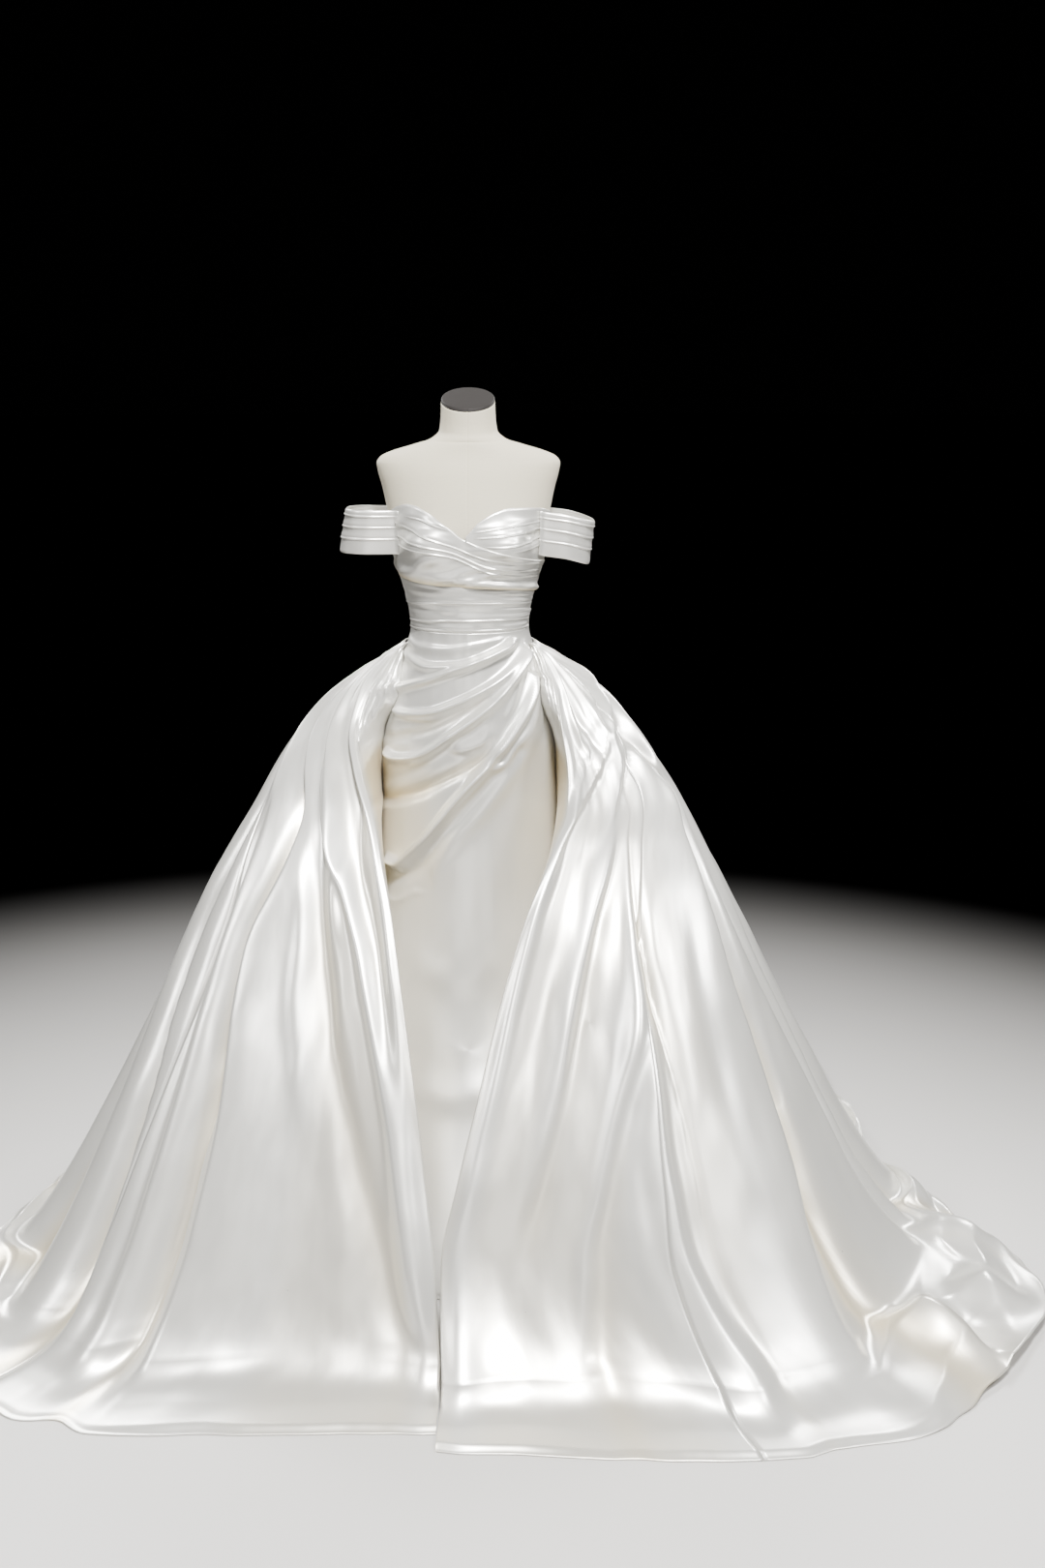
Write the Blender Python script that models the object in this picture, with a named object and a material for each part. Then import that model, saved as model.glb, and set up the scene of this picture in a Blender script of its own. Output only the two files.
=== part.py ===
"""A strapless wedding dress with off-shoulder sleeve bands and a trained overskirt, on a dress form.

Metres, +Z up. The front faces -Y and the viewer's right is +X. The origin is on the floor under
the pole. An angle is measured from the front, positive to the viewer's right; a turn is measured
from the back, from -180 at the overskirt's left front edge to 180 at its right one.
"""

import bpy
import numpy as np


def table(names, *rows):
    """A short table with named columns."""
    return np.array(list(rows), dtype=[(name, float) for name in names.split()])


# Driving sizes
WAIST_SEAM = 1.213
FORM_BOTTOM = 0.90
CLOTH_GAP = 0.0024
SEAM_GAP = 0.0003
BODICE_WALL = 0.002
SKIRT_WALL = 0.002
OVERSKIRT_WALL = 0.0025
FLOOR_GAP = 0.0005
SIDE_SEAM = 88.0

# The form
NECK_TOP = 1.668
NECK_TILT = 0.36
NECK_CENTRE = -0.004
CAP_HEIGHT = 0.008
POLE_RADIUS = 0.016
BASE_RADIUS = 0.200
BASE_HEIGHT = 0.022
BUST_HEIGHT = 1.382
BUST_ANGLE = 38.0
BUST_RISE = 0.026
BUST_SPREAD = 21.0
BUST_TALL = 0.044
FORM_CUPS = 0.82

# Half width, front and back depth of the figure; below the form, of the inner skirt's fall
FIGURE = table(
    "height half_width front back",
    (0.000, 0.400, 0.600, 0.400),
    (0.120, 0.352, 0.500, 0.345),
    (0.300, 0.290, 0.360, 0.275),
    (0.500, 0.235, 0.240, 0.212),
    (0.700, 0.200, 0.170, 0.168),
    (0.860, 0.188, 0.146, 0.152),
    (0.970, 0.184, 0.139, 0.148),
    (1.050, 0.172, 0.131, 0.140),
    (1.120, 0.151, 0.117, 0.122),
    (1.170, 0.130, 0.104, 0.104),
    (1.212, 0.1185, 0.097, 0.094),
    (1.255, 0.123, 0.099, 0.096),
    (1.307, 0.136, 0.106, 0.103),
    (1.357, 0.151, 0.112, 0.109),
    (1.410, 0.159, 0.112, 0.114),
    (1.456, 0.167, 0.104, 0.117),
    (1.500, 0.176, 0.092, 0.115),
    (1.530, 0.184, 0.083, 0.110),
    (1.548, 0.187, 0.076, 0.105),
    (1.560, 0.180, 0.071, 0.099),
    (1.572, 0.155, 0.067, 0.092),
    (1.584, 0.114, 0.064, 0.083),
    (1.597, 0.075, 0.060, 0.072),
    (1.612, 0.059, 0.056, 0.063),
    (1.640, 0.0555, 0.054, 0.058),
    (NECK_TOP, 0.0545, 0.054, 0.056),
)

# Top edge of the bodice
NECKLINE = table(
    "angle height",
    (-180, 1.392),
    (-140, 1.402),
    (-105, 1.432),
    (-80, 1.452),
    (-62, 1.464),
    (-48, 1.467),
    (-34, 1.447),
    (-17, 1.421),
    (-5, 1.407),
    (11, 1.437),
    (29, 1.457),
    (45, 1.465),
    (66, 1.463),
    (80, 1.455),
    (105, 1.432),
    (140, 1.402),
    (180, 1.392),
)

# Where the left drape crosses under the right cup, and its lower edge
CROSSING = table("angle height", (-6, 1.407), (12, 1.391), (40, 1.370), (66, 1.358), (88, 1.352))
DRAPE_EDGE = table("angle height", (-88, 1.326), (-50, 1.313), (0, 1.307), (40, 1.301), (88, 1.288))

# Tucks: each drape's fold edges, as shares of its height
LEFT_DRAPE_TUCKS = (0.16, 0.34, 0.55, 0.77, 0.93)
RIGHT_DRAPE_TUCKS = (0.24, 0.46, 0.68, 0.88)
MIDRIFF_TUCKS = (0.10, 0.34, 0.66)
SLEEVE_TUCKS = (0.26, 0.50, 0.72)
TUCK_RISE = 0.0030
TUCK_STEP = 0.035

# Sleeve bands
SLEEVES = table(
    "side reach_top reach_bottom droop",
    (-1, 0.250, 0.265, 0.004),
    (1, 0.258, 0.248, 0.024),
)
SLEEVE_BOTTOM = 1.368
SLEEVE_TOP = 1.456
SLEEVE_ROOT = 0.150
SLEEVE_HALF_DEPTH = 0.064
SLEEVE_COLUMNS = 27

# Ridges across the inner skirt's front, from the right hip down to the left
HIP_FOLDS = table(
    "right_angle right_height left_angle left_height sag width rise",
    (34, 1.186, -66, 1.176, 1.5, 0.013, 0.005),
    (44, 1.180, -84, 1.128, 2.1, 0.015, 0.008),
    (50, 1.172, -78, 1.080, 1.8, 0.016, 0.010),
    (54, 1.162, -88, 1.022, 1.8, 0.018, 0.012),
    (60, 1.150, -84, 0.925, 2.2, 0.020, 0.012),
    (34, 1.150, -84, 0.775, 2.3, 0.022, 0.013),
    (66, 1.120, -8, 0.860, 1.7, 0.019, 0.010),
)

# Overskirt
OVERSKIRT_TOP = 1.180
TOP_GAP = 0.0048
FOLD_REST = 0.018
GATHERS = 34
GATHER_RISE = 0.0045
# Share of the way out that the cloth has reached at each share of the way down
FALL = table(
    "down out",
    (0.000, 0.000),
    (0.020, 0.072),
    (0.050, 0.138),
    (0.100, 0.206),
    (0.170, 0.278),
    (0.260, 0.360),
    (0.380, 0.468),
    (0.510, 0.582),
    (0.620, 0.677),
    (0.730, 0.767),
    (0.850, 0.865),
    (1.000, 1.000),
)
# Turn and radius of the two front edges at each height
FRONT_EDGES = table(
    "height left left_radius right right_radius",
    (0.000, -177.8, 0.898, 181.8, 0.950),
    (0.190, -176.6, 0.797, 182.6, 0.800),
    (0.310, -174.7, 0.724, 180.7, 0.735),
    (0.450, -171.8, 0.642, 177.2, 0.643),
    (0.585, -167.7, 0.555, 172.6, 0.553),
    (0.720, -161.8, 0.465, 165.2, 0.468),
    (0.830, -153.6, 0.388, 154.0, 0.389),
    (0.890, -147.0, 0.347, 144.5, 0.348),
    (0.960, -134.0, 0.303, 137.0, 0.303),
    (1.040, -116.0, 0.256, 131.0, 0.252),
    (1.110, -108.0, 0.212, 120.0, 0.205),
    (1.180, -105.0, 0.143, 106.0, 0.143),
)
EDGE_SPREAD = 0.065
# Where the cloth meets the floor and where its hem lies, by turn
FOOTPRINT = table(
    "turn ground hem",
    (-180, 0.898, 1.015),
    (-165, 0.950, 1.100),
    (-155, 0.990, 1.165),
    (-141, 1.055, 1.245),
    (-124, 1.010, 1.225),
    (-113, 0.930, 1.045),
    (-103, 0.860, 0.905),
    (-88, 0.815, 0.860),
    (-68, 0.800, 0.910),
    (-48, 0.820, 1.090),
    (-25, 0.820, 1.230),
    (0, 0.820, 1.310),
    (25, 0.820, 1.230),
    (48, 0.820, 1.080),
    (66, 0.830, 0.930),
    (82, 0.845, 0.890),
    (97, 0.895, 0.940),
    (104, 0.925, 1.050),
    (113, 0.960, 1.225),
    (122, 1.010, 1.290),
    (134, 1.075, 1.305),
    (146, 1.110, 1.262),
    (162, 1.030, 1.180),
    (172, 0.975, 1.105),
    (180, 0.950, 1.065),
)
# Gores, from the left front edge round the back to the right one
GORES = (
    ("overskirt_left_front", 0.115, 17),
    ("overskirt_left_side", 0.255, 17),
    ("overskirt_left_train", 0.500, 21),
    ("overskirt_right_train", 0.745, 21),
    ("overskirt_right_side", 0.925, 21),
    ("overskirt_right_front", 1.000, 12),
)
# Large folds: share of the way round at the top, half-way down and at the hem
FOLDS = table(
    "top middle hem width rise",
    (0.020, 0.014, 0.010, 0.010, 0.018),
    (0.085, 0.048, 0.040, 0.013, 0.026),
    (0.140, 0.104, 0.086, 0.015, 0.050),
    (0.190, 0.150, 0.130, 0.014, 0.045),
    (0.240, 0.190, 0.172, 0.015, 0.045),
    (0.280, 0.240, 0.222, 0.018, 0.050),
    (0.330, 0.290, 0.278, 0.019, 0.052),
    (0.370, 0.345, 0.335, 0.020, 0.055),
    (0.415, 0.400, 0.396, 0.021, 0.060),
    (0.470, 0.462, 0.460, 0.021, 0.060),
    (0.530, 0.536, 0.538, 0.021, 0.060),
    (0.585, 0.600, 0.604, 0.021, 0.060),
    (0.640, 0.660, 0.668, 0.020, 0.055),
    (0.690, 0.715, 0.726, 0.019, 0.050),
    (0.740, 0.765, 0.776, 0.016, 0.045),
    (0.790, 0.808, 0.816, 0.014, 0.045),
    (0.850, 0.850, 0.856, 0.013, 0.040),
    (0.960, 0.905, 0.893, 0.013, 0.048),
    (0.910, 0.953, 0.934, 0.014, 0.046),
    (0.985, 0.986, 0.982, 0.010, 0.018),
)
# Crests of the cloth that lies heaped on the floor at the sides and behind
CRESTS = table(
    "round out width length rise",
    (0.165, 0.55, 0.010, 0.30, 0.040),
    (0.196, 0.50, 0.010, 0.34, 0.034),
    (0.235, 0.55, 0.012, 0.30, 0.030),
    (0.360, 0.60, 0.016, 0.30, 0.022),
    (0.445, 0.55, 0.016, 0.34, 0.022),
    (0.560, 0.60, 0.016, 0.30, 0.022),
    (0.650, 0.55, 0.014, 0.30, 0.022),
    (0.782, 0.60, 0.010, 0.30, 0.036),
    (0.808, 0.45, 0.009, 0.32, 0.046),
    (0.832, 0.62, 0.009, 0.28, 0.040),
    (0.858, 0.45, 0.009, 0.30, 0.044),
    (0.884, 0.60, 0.009, 0.26, 0.030),
)

SATIN = (0.86, 0.85, 0.82, 1.0)
LINEN = (0.80, 0.76, 0.68, 1.0)
DARK_CAP = (0.055, 0.055, 0.058, 1.0)
STEEL = (0.62, 0.62, 0.63, 1.0)


def smooth(xs, ys, at):
    """Cubic curve through the points (xs, ys), level where they turn back, read at any places."""
    steps = np.diff(xs)
    grades = np.diff(ys) / steps
    before, after = grades[:-1], grades[1:]
    product = before * after
    total = np.where(product > 0, before + after, 1.0)
    inner = np.where(product > 0, 2 * product / total, 0.0)
    slopes = np.concatenate([grades[:1], inner, grades[-1:]])
    at = np.clip(at, xs[0], xs[-1])
    i = np.clip(np.searchsorted(xs, at) - 1, 0, len(steps) - 1)
    t = (at - xs[i]) / steps[i]
    start = (1 + 2 * t) * (1 - t) ** 2 * ys[i] + t * (1 - t) ** 2 * steps[i] * slopes[i]
    end = t * t * (3 - 2 * t) * ys[i + 1] + t * t * (t - 1) * steps[i] * slopes[i + 1]
    return start + end


def read(rows, key, value, at):
    """A table's value column at any places of its key column."""
    return smooth(rows[key], rows[value], np.asarray(at, float))


def polar(radius, angle, height):
    """Points at a radius and an angle from the front, in degrees."""
    turn = np.radians(angle)
    return np.stack(np.broadcast_arrays(radius * np.sin(turn), -radius * np.cos(turn), height), axis=-1)


def figure_radius(angle, height, cup_share=1.0):
    """Radius of the figure: an ellipse with unlike front and back halves, and two cups in front."""
    angle, height = np.broadcast_arrays(np.asarray(angle, float), np.asarray(height, float))
    turn = np.radians(angle)
    front = read(FIGURE, "height", "front", height)
    depth = np.where(np.cos(turn) > 0, front, read(FIGURE, "height", "back", height))
    half = read(FIGURE, "height", "half_width", height)
    ellipse = 1.0 / np.sqrt((np.sin(turn) / half) ** 2 + (np.cos(turn) / depth) ** 2)
    rise = np.exp(-(((height - BUST_HEIGHT) / BUST_TALL) ** 2))
    cups = sum(np.exp(-(((angle - side * BUST_ANGLE) / BUST_SPREAD) ** 2)) for side in (-1, 1))
    return ellipse + BUST_RISE * cup_share * rise * cups


def grid_faces(rows, columns, first, flipped):
    """Two triangles for each cell of a grid of points, numbered from first, with like diagonals."""
    row, column = np.meshgrid(np.arange(rows - 1), np.arange(columns - 1), indexing="ij")
    a = first + (row * columns + column).ravel()
    b, c, d = a + 1, a + columns + 1, a + columns
    faces = np.concatenate([np.stack([a, b, c], axis=1), np.stack([a, c, d], axis=1)])
    return faces[:, ::-1] if flipped else faces


def rim_faces(rows, columns):
    """The strip that joins the rims of two grids of points, outer first.

    Both side edges are split from their upper outer to their lower inner points, so that two
    panels that meet at a seam keep one gap all along it.
    """
    cell = np.arange(rows * columns).reshape(rows, columns)
    rim = np.concatenate([cell[0, :-1], cell[:-1, -1], cell[-1, :0:-1], cell[:0:-1, 0]])
    following = np.roll(rim, -1)
    under = rows * columns
    climbing = (np.arange(len(rim)) >= len(rim) - (rows - 1))[:, None]
    near = np.stack([rim, following + under, rim + under], axis=1)
    far = np.stack([rim, following, following + under], axis=1)
    near_climbing = np.stack([rim, following, rim + under], axis=1)
    far_climbing = np.stack([following, following + under, rim + under], axis=1)
    return np.concatenate([np.where(climbing, near_climbing, near), np.where(climbing, far_climbing, far)])


def make_object(name, points, faces, material, collection):
    """A mesh object of points and faces, with its own material."""
    mesh = bpy.data.meshes.new(name)
    mesh.from_pydata(points.tolist(), [], faces.tolist())
    mesh.validate()
    mesh.shade_smooth()
    mesh.materials.append(material)
    piece = bpy.data.objects.new(name, mesh)
    collection.objects.link(piece)
    return piece


def make_material(name, colour, roughness, metallic=0.0):
    """A Principled material of one finish."""
    material = bpy.data.materials.new(name)
    material.use_nodes = True
    shader = material.node_tree.nodes["Principled BSDF"]
    shader.inputs["Base Color"].default_value = colour
    shader.inputs["Roughness"].default_value = roughness
    shader.inputs["Metallic"].default_value = metallic
    return material


def satin(name):
    """The dress's ivory satin."""
    return make_material(name + "_satin", SATIN, 0.32)


def cloth_wall(name, outer, inner, collection):
    """A closed wall of cloth between its outer and its inner points; rows run down, columns to the right."""
    rows, columns = outer.shape[:2]
    points = np.concatenate([outer.reshape(-1, 3), inner.reshape(-1, 3)])
    faces = np.concatenate([
        grid_faces(rows, columns, 0, True),
        grid_faces(rows, columns, rows * columns, False),
        rim_faces(rows, columns),
    ])
    return make_object(name, points, faces, satin(name), collection)


def turned_rings(name, rings, material, collection):
    """A closed solid through rings of points, lowest first, with a flat fan at each end."""
    rows, columns = rings.shape[:2]
    points = np.concatenate([rings.reshape(-1, 3), rings[0].mean(axis=0)[None], rings[-1].mean(axis=0)[None]])
    column = np.arange(columns)
    following = np.roll(column, -1)
    faces = []
    for row in range(rows - 1):
        a, b = row * columns + column, row * columns + following
        faces += [np.stack([a, b, b + columns], axis=1), np.stack([a, b + columns, a + columns], axis=1)]
    low, high = rows * columns, rows * columns + 1
    top = (rows - 1) * columns
    faces.append(np.stack([following, column, np.full(columns, low)], axis=1))
    faces.append(np.stack([top + column, top + following, np.full(columns, high)], axis=1))
    return make_object(name, points, np.concatenate(faces), material, collection)


def neck_plane(height, points):
    """Lean the neck's upper sections towards the tilted top."""
    lean = np.clip((height - 1.60) / (NECK_TOP - 1.60), 0, 1)
    points[..., 2] += lean * NECK_TILT * (points[..., 1] - NECK_CENTRE)
    return points


def make_form(collection):
    """The padded linen torso and neck, its cap, and the stand inside the skirts."""
    angles = np.arange(0, 360, 12.0)
    shoulders = FIGURE["height"][FIGURE["height"] > 1.52]
    heights = np.concatenate([[FORM_BOTTOM, 0.97], np.arange(1.05, 1.52, 0.031), shoulders])
    angle, height = np.meshgrid(np.where(angles > 180, angles - 360, angles), np.unique(heights))
    rings = polar(figure_radius(angle, height, FORM_CUPS), angle, height)
    rings = neck_plane(height, rings)
    turned_rings("form_torso", rings, make_material("linen", LINEN, 0.85), collection)

    cap_shares = ((0.0, 0.995), (0.55, 0.995), (0.85, 0.93), (1.0, 0.80))
    edge = rings[-1] + np.array([0.0, 0.0, SEAM_GAP])
    centre = edge.mean(axis=0)
    cap = np.stack([centre + (edge - centre) * out + [0, 0, CAP_HEIGHT * up] for up, out in cap_shares])
    turned_rings("form_neck_cap", cap, make_material("dark_cap", DARK_CAP, 0.55), collection)

    steel = make_material("steel", STEEL, 0.3, 1.0)
    stand_rings = table(
        "radius height",
        (BASE_RADIUS, 0.0),
        (BASE_RADIUS, BASE_HEIGHT * 0.6),
        (BASE_RADIUS * 0.97, BASE_HEIGHT),
        (POLE_RADIUS * 2.6, BASE_HEIGHT + 0.006),
        (POLE_RADIUS * 2.2, BASE_HEIGHT + 0.040),
        (POLE_RADIUS, BASE_HEIGHT + 0.044),
        (POLE_RADIUS, FORM_BOTTOM - SEAM_GAP),
    )
    round_angles = np.arange(0, 360, 15.0)
    stand = np.stack([polar(row["radius"], round_angles, row["height"]) for row in stand_rings])
    turned_rings("form_stand", stand, steel, collection)


def tuck_rows(lines):
    """Shares of the height where a tucked piece has a row, and how far its tucks stand out there."""
    shares, rises = [0.0], [0.5]
    for line in lines:
        shares += [line - TUCK_STEP, line]
        rises += [0.0, 1.0]
    return np.array(shares + [1.0])[::-1], np.array(rises + [0.25])[::-1]


def tucked_panel(name, angles, lower, upper, lines, collection):
    """A panel on the figure between two heights, with tucks raised in its outer points."""
    shares, rises = tuck_rows(lines)
    share, angle = np.meshgrid(shares, angles, indexing="ij")
    height = lower + (upper - lower) * share
    radius = figure_radius(angle, height) + CLOTH_GAP
    outer = polar(radius + BODICE_WALL + TUCK_RISE * rises[:, None], angle, height)
    return cloth_wall(name, outer, polar(radius, angle, height), collection)


def seam_angles(start, end, steps):
    """Angles between two seams, held back from each by half the seam gap."""
    half_gap = np.degrees(SEAM_GAP / 0.16) / 2
    return np.linspace(start + half_gap, end - half_gap, steps)


def make_bodice(collection):
    """Three pleated pieces in front and two plain ones behind, which meet at the centre back."""
    half_gap = SEAM_GAP / 2
    angles = seam_angles(-SIDE_SEAM, SIDE_SEAM, 25)
    neckline = read(NECKLINE, "angle", "height", angles)
    crossing = read(CROSSING, "angle", "height", angles)
    top = np.where(angles < -6, neckline, np.minimum(crossing, neckline)) - half_gap
    edge = read(DRAPE_EDGE, "angle", "height", angles)
    tucked_panel("bodice_left_drape", angles, edge + half_gap, top, LEFT_DRAPE_TUCKS, collection)
    waist = np.full_like(angles, WAIST_SEAM + half_gap)
    tucked_panel("bodice_midriff", angles, waist, edge - half_gap, MIDRIFF_TUCKS, collection)

    cup = seam_angles(1.0, SIDE_SEAM, 14)
    low = read(CROSSING, "angle", "height", cup) + half_gap
    high = read(NECKLINE, "angle", "height", cup)
    tucked_panel("bodice_right_drape", cup, low, high, RIGHT_DRAPE_TUCKS, collection)

    backs = (("bodice_back_left", -180.0, -SIDE_SEAM), ("bodice_back_right", SIDE_SEAM, 180.0))
    for name, start, end in backs:
        angles = seam_angles(start, end, 12)
        share, angle = np.meshgrid(np.linspace(1, 0, 7), angles, indexing="ij")
        top = read(NECKLINE, "angle", "height", angles)
        height = WAIST_SEAM + half_gap + (top - WAIST_SEAM - half_gap) * share
        radius = figure_radius(angle, height) + CLOTH_GAP
        outer = polar(radius + BODICE_WALL, angle, height)
        cloth_wall(name, outer, polar(radius, angle, height), collection)


def seated_ends(points):
    """Set a sleeve band's two ends on the bodice, just clear of its tucks in front."""
    for column, lift in ((0, TUCK_RISE), (-1, 0.0)):
        x, y, height = points[:, column].T
        angle = np.degrees(np.arctan2(x, -y))
        radius = figure_radius(angle, height) + CLOTH_GAP + BODICE_WALL + lift + SEAM_GAP
        points[:, column] = polar(radius, angle, height)
    return points


def surface_normals(points):
    """Unit normals of a grid of points whose rows run down and whose columns run to the right."""
    down = np.gradient(points, axis=0)
    along = np.gradient(points, axis=1)
    normals = np.cross(down, along)
    return normals / np.linalg.norm(normals, axis=-1, keepdims=True)


def make_sleeve(row, collection):
    """An open band from the bodice's front round the arm's place to its back."""
    side = row["side"]
    shares, rises = tuck_rows(SLEEVE_TUCKS)
    share, part = np.meshgrid(shares, np.linspace(0, 1, SLEEVE_COLUMNS), indexing="ij")
    out = np.sin(np.pi * part)
    back = np.cos(np.pi * part)
    reach = row["reach_bottom"] + (row["reach_top"] - row["reach_bottom"]) * share
    height = SLEEVE_BOTTOM + (SLEEVE_TOP - SLEEVE_BOTTOM) * share - row["droop"] * out ** 0.8
    x = SLEEVE_ROOT + (reach - SLEEVE_ROOT) * np.abs(out) ** 0.55
    y = -SLEEVE_HALF_DEPTH * np.sign(back) * np.abs(back) ** 0.7
    base = np.stack([side * x, y, height], axis=-1)
    normals = surface_normals(base) * side
    outer = seated_ends(base + normals * TUCK_RISE * rises[:, None, None])
    inner = seated_ends(base - normals * BODICE_WALL)
    name = "sleeve_left" if side < 0 else "sleeve_right"
    if side < 0:
        outer, inner = outer[:, ::-1], inner[:, ::-1]
    cloth_wall(name, outer, inner, collection)


def hip_folds(angle, height):
    """How far the inner skirt's ridges stand out: each fades away from a curve that sags to the left."""
    rise = np.zeros_like(height)
    for fold in HIP_FOLDS:
        share = (angle - fold["left_angle"]) / (fold["right_angle"] - fold["left_angle"])
        inside = np.clip(share, 0, 1)
        line = fold["left_height"] + (fold["right_height"] - fold["left_height"]) * inside ** fold["sag"]
        fade = np.exp(-((np.clip(np.abs(share - 0.5) - 0.5, 0, None) / 0.12) ** 2))
        rise = rise + fold["rise"] * fade * np.exp(-(((height - line) / fold["width"]) ** 2))
    return rise


def make_inner_skirt(collection):
    """The narrow skirt: a draped front and a plain back, from the waist seam to the floor."""
    drape = np.linspace(WAIST_SEAM - SEAM_GAP / 2, 0.73, 19)
    fall = np.array([0.62, 0.50, 0.36, 0.22, 0.10, FLOOR_GAP])
    for name, angles, heights in (
        ("skirt_front", seam_angles(-SIDE_SEAM, SIDE_SEAM, 24), np.concatenate([drape, fall])),
        ("skirt_back", seam_angles(SIDE_SEAM, 360 - SIDE_SEAM, 16), np.concatenate([drape[::2], fall])),
    ):
        height, angle = np.meshgrid(heights, angles, indexing="ij")
        turn = np.where(angle > 180, angle - 360, angle)
        radius = figure_radius(turn, height) + CLOTH_GAP
        folds = hip_folds(turn, height) if name == "skirt_front" else 0.0
        outer = polar(radius + SKIRT_WALL + folds, angle, height)
        cloth_wall(name, outer, polar(radius, angle, height), collection)


def fall_rows():
    """Share of the way down, then share of the way out on the floor, for each row of the overskirt."""
    hanging = [0.0, 0.02, 0.05, 0.10, 0.18, 0.29, 0.42, 0.55, 0.68, 0.80, 0.90, 0.965]
    on_floor = [0.10, 0.40, 0.70, 1.0]
    down = np.array(hanging + [1.0] * len(on_floor))
    lying = np.array([0.0] * len(hanging) + on_floor)
    return down, lying


def overskirt_columns():
    """Shares of the way round, from the left front edge, and the columns where the gores meet."""
    shares, seams, start = [np.zeros(1)], [0], 0.0
    for _, end, steps in GORES:
        shares.append(np.linspace(start, end, steps + 1)[1:])
        seams.append(seams[-1] + steps)
        start = end
    return np.concatenate(shares), seams


def overskirt_surface(round_share, down, lying):
    """The overskirt's outer points: a fall from the waist to its footprint, with folds, then on the floor."""
    height = OVERSKIRT_TOP * (1 - down)
    left = read(FRONT_EDGES, "height", "left", height)
    right = read(FRONT_EDGES, "height", "right", height)
    turn = left + (right - left) * round_share
    at_foot = -180 + 360 * round_share
    angle = np.where(turn > 0, 180 - turn, -180 - turn)
    under = hip_folds(angle, np.full_like(angle, OVERSKIRT_TOP))
    top = figure_radius(angle, OVERSKIRT_TOP) + under + CLOTH_GAP + SKIRT_WALL + TOP_GAP
    ground = read(FOOTPRINT, "turn", "ground", at_foot)
    hem = read(FOOTPRINT, "turn", "hem", at_foot)
    fall = top + (ground - top) * read(FALL, "down", "out", down)
    for edge, away in (("left_radius", round_share), ("right_radius", 1 - round_share)):
        own = read(FRONT_EDGES, "height", edge, height)
        fall = fall + (own - fall) * np.exp(-((away / EDGE_SPREAD) ** 2))
    radius = fall + (hem - ground) * lying

    middle = 0.5
    below = np.clip((down - middle) / (1 - middle), 0, 1)
    above = np.clip(down / middle, 0, 1)
    folds = np.full_like(radius, -FOLD_REST)
    for fold in FOLDS:
        centre = fold["top"] + (fold["middle"] - fold["top"]) * above
        centre = centre + (fold["hem"] - fold["middle"]) * below
        folds = folds + fold["rise"] * np.exp(-(((round_share - centre) / fold["width"]) ** 2))
    folds = folds * np.clip((down - 0.03) / 0.55, 0, 1) ** 0.8
    gathers = GATHER_RISE * np.cos(2 * np.pi * GATHERS * round_share) * np.exp(-((down / 0.16) ** 2))
    gathers = gathers * np.clip(down / 0.02, 0.35, 1)
    radius = radius + folds * (1 - 0.55 * lying) + gathers

    crests = np.zeros_like(radius)
    for crest in CRESTS:
        across = (round_share - crest["round"]) / crest["width"]
        outward = (lying - crest["out"]) / crest["length"]
        crests = crests + crest["rise"] * np.exp(-across ** 2 - outward ** 2)
    height = height + crests * np.clip(lying * 4, 0, 1)
    height = np.maximum(height, OVERSKIRT_WALL + FLOOR_GAP)
    return polar(radius, angle, height)


def make_overskirt(collection):
    """Six gores of one surface, each held back from its neighbours by half the seam gap."""
    down, lying = fall_rows()
    round_share, seams = overskirt_columns()
    share = np.broadcast_to(round_share, (len(down), len(round_share)))
    outer = overskirt_surface(share, down[:, None] + 0 * share, lying[:, None] + 0 * share)
    inner = outer - surface_normals(outer[:, ::-1])[:, ::-1] * OVERSKIRT_WALL
    inner[..., 2] = np.maximum(inner[..., 2], FLOOR_GAP)
    for (name, _, _), start, end in zip(GORES, seams[:-1], seams[1:]):
        sides = []
        for grid in (outer, inner):
            panel = grid[:, start:end + 1].copy()
            for edge, beside in ((0, 1), (-1, -2)):
                step = panel[:, beside] - panel[:, edge]
                panel[:, edge] += step / np.linalg.norm(step, axis=-1, keepdims=True) * SEAM_GAP / 2
            sides.append(panel)
        cloth_wall(name, sides[0][:, ::-1], sides[1][:, ::-1], collection)


def main():
    for old in list(bpy.data.objects):
        bpy.data.objects.remove(old)
    collection = bpy.data.collections.new("wedding_dress_on_form")
    bpy.context.scene.collection.children.link(collection)
    make_form(collection)
    make_bodice(collection)
    for row in SLEEVES:
        make_sleeve(row, collection)
    make_inner_skirt(collection)
    make_overskirt(collection)


main()
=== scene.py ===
"""The looks of a strapless satin wedding dress with a trained overskirt, on a linen dress form.

Metres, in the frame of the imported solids: +Z up, the front faces -Y and the viewer's right is +X.
An angle is measured from the front, positive to the viewer's right. A share round the overskirt
runs from 0 at its left front edge, behind the form, to 1 at its right front edge.
"""

import bpy
import numpy as np
from mathutils import Matrix, Vector


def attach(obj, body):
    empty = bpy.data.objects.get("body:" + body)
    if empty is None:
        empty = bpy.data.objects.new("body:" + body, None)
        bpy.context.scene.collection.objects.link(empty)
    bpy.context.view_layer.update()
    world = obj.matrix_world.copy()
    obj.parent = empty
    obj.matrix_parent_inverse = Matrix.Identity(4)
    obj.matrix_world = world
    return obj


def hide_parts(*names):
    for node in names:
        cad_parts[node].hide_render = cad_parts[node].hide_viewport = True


bl_info = {
    "name": "Wedding dress on a dress form",
    "version": (1, 0, 0),
    "blender": (4, 5, 0),
    "location": "View3D > Sidebar > Dress",
    "description": "Makes the cloth of the dress, the form inside it and a plain studio",
    "category": "Add Mesh",
}

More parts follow.
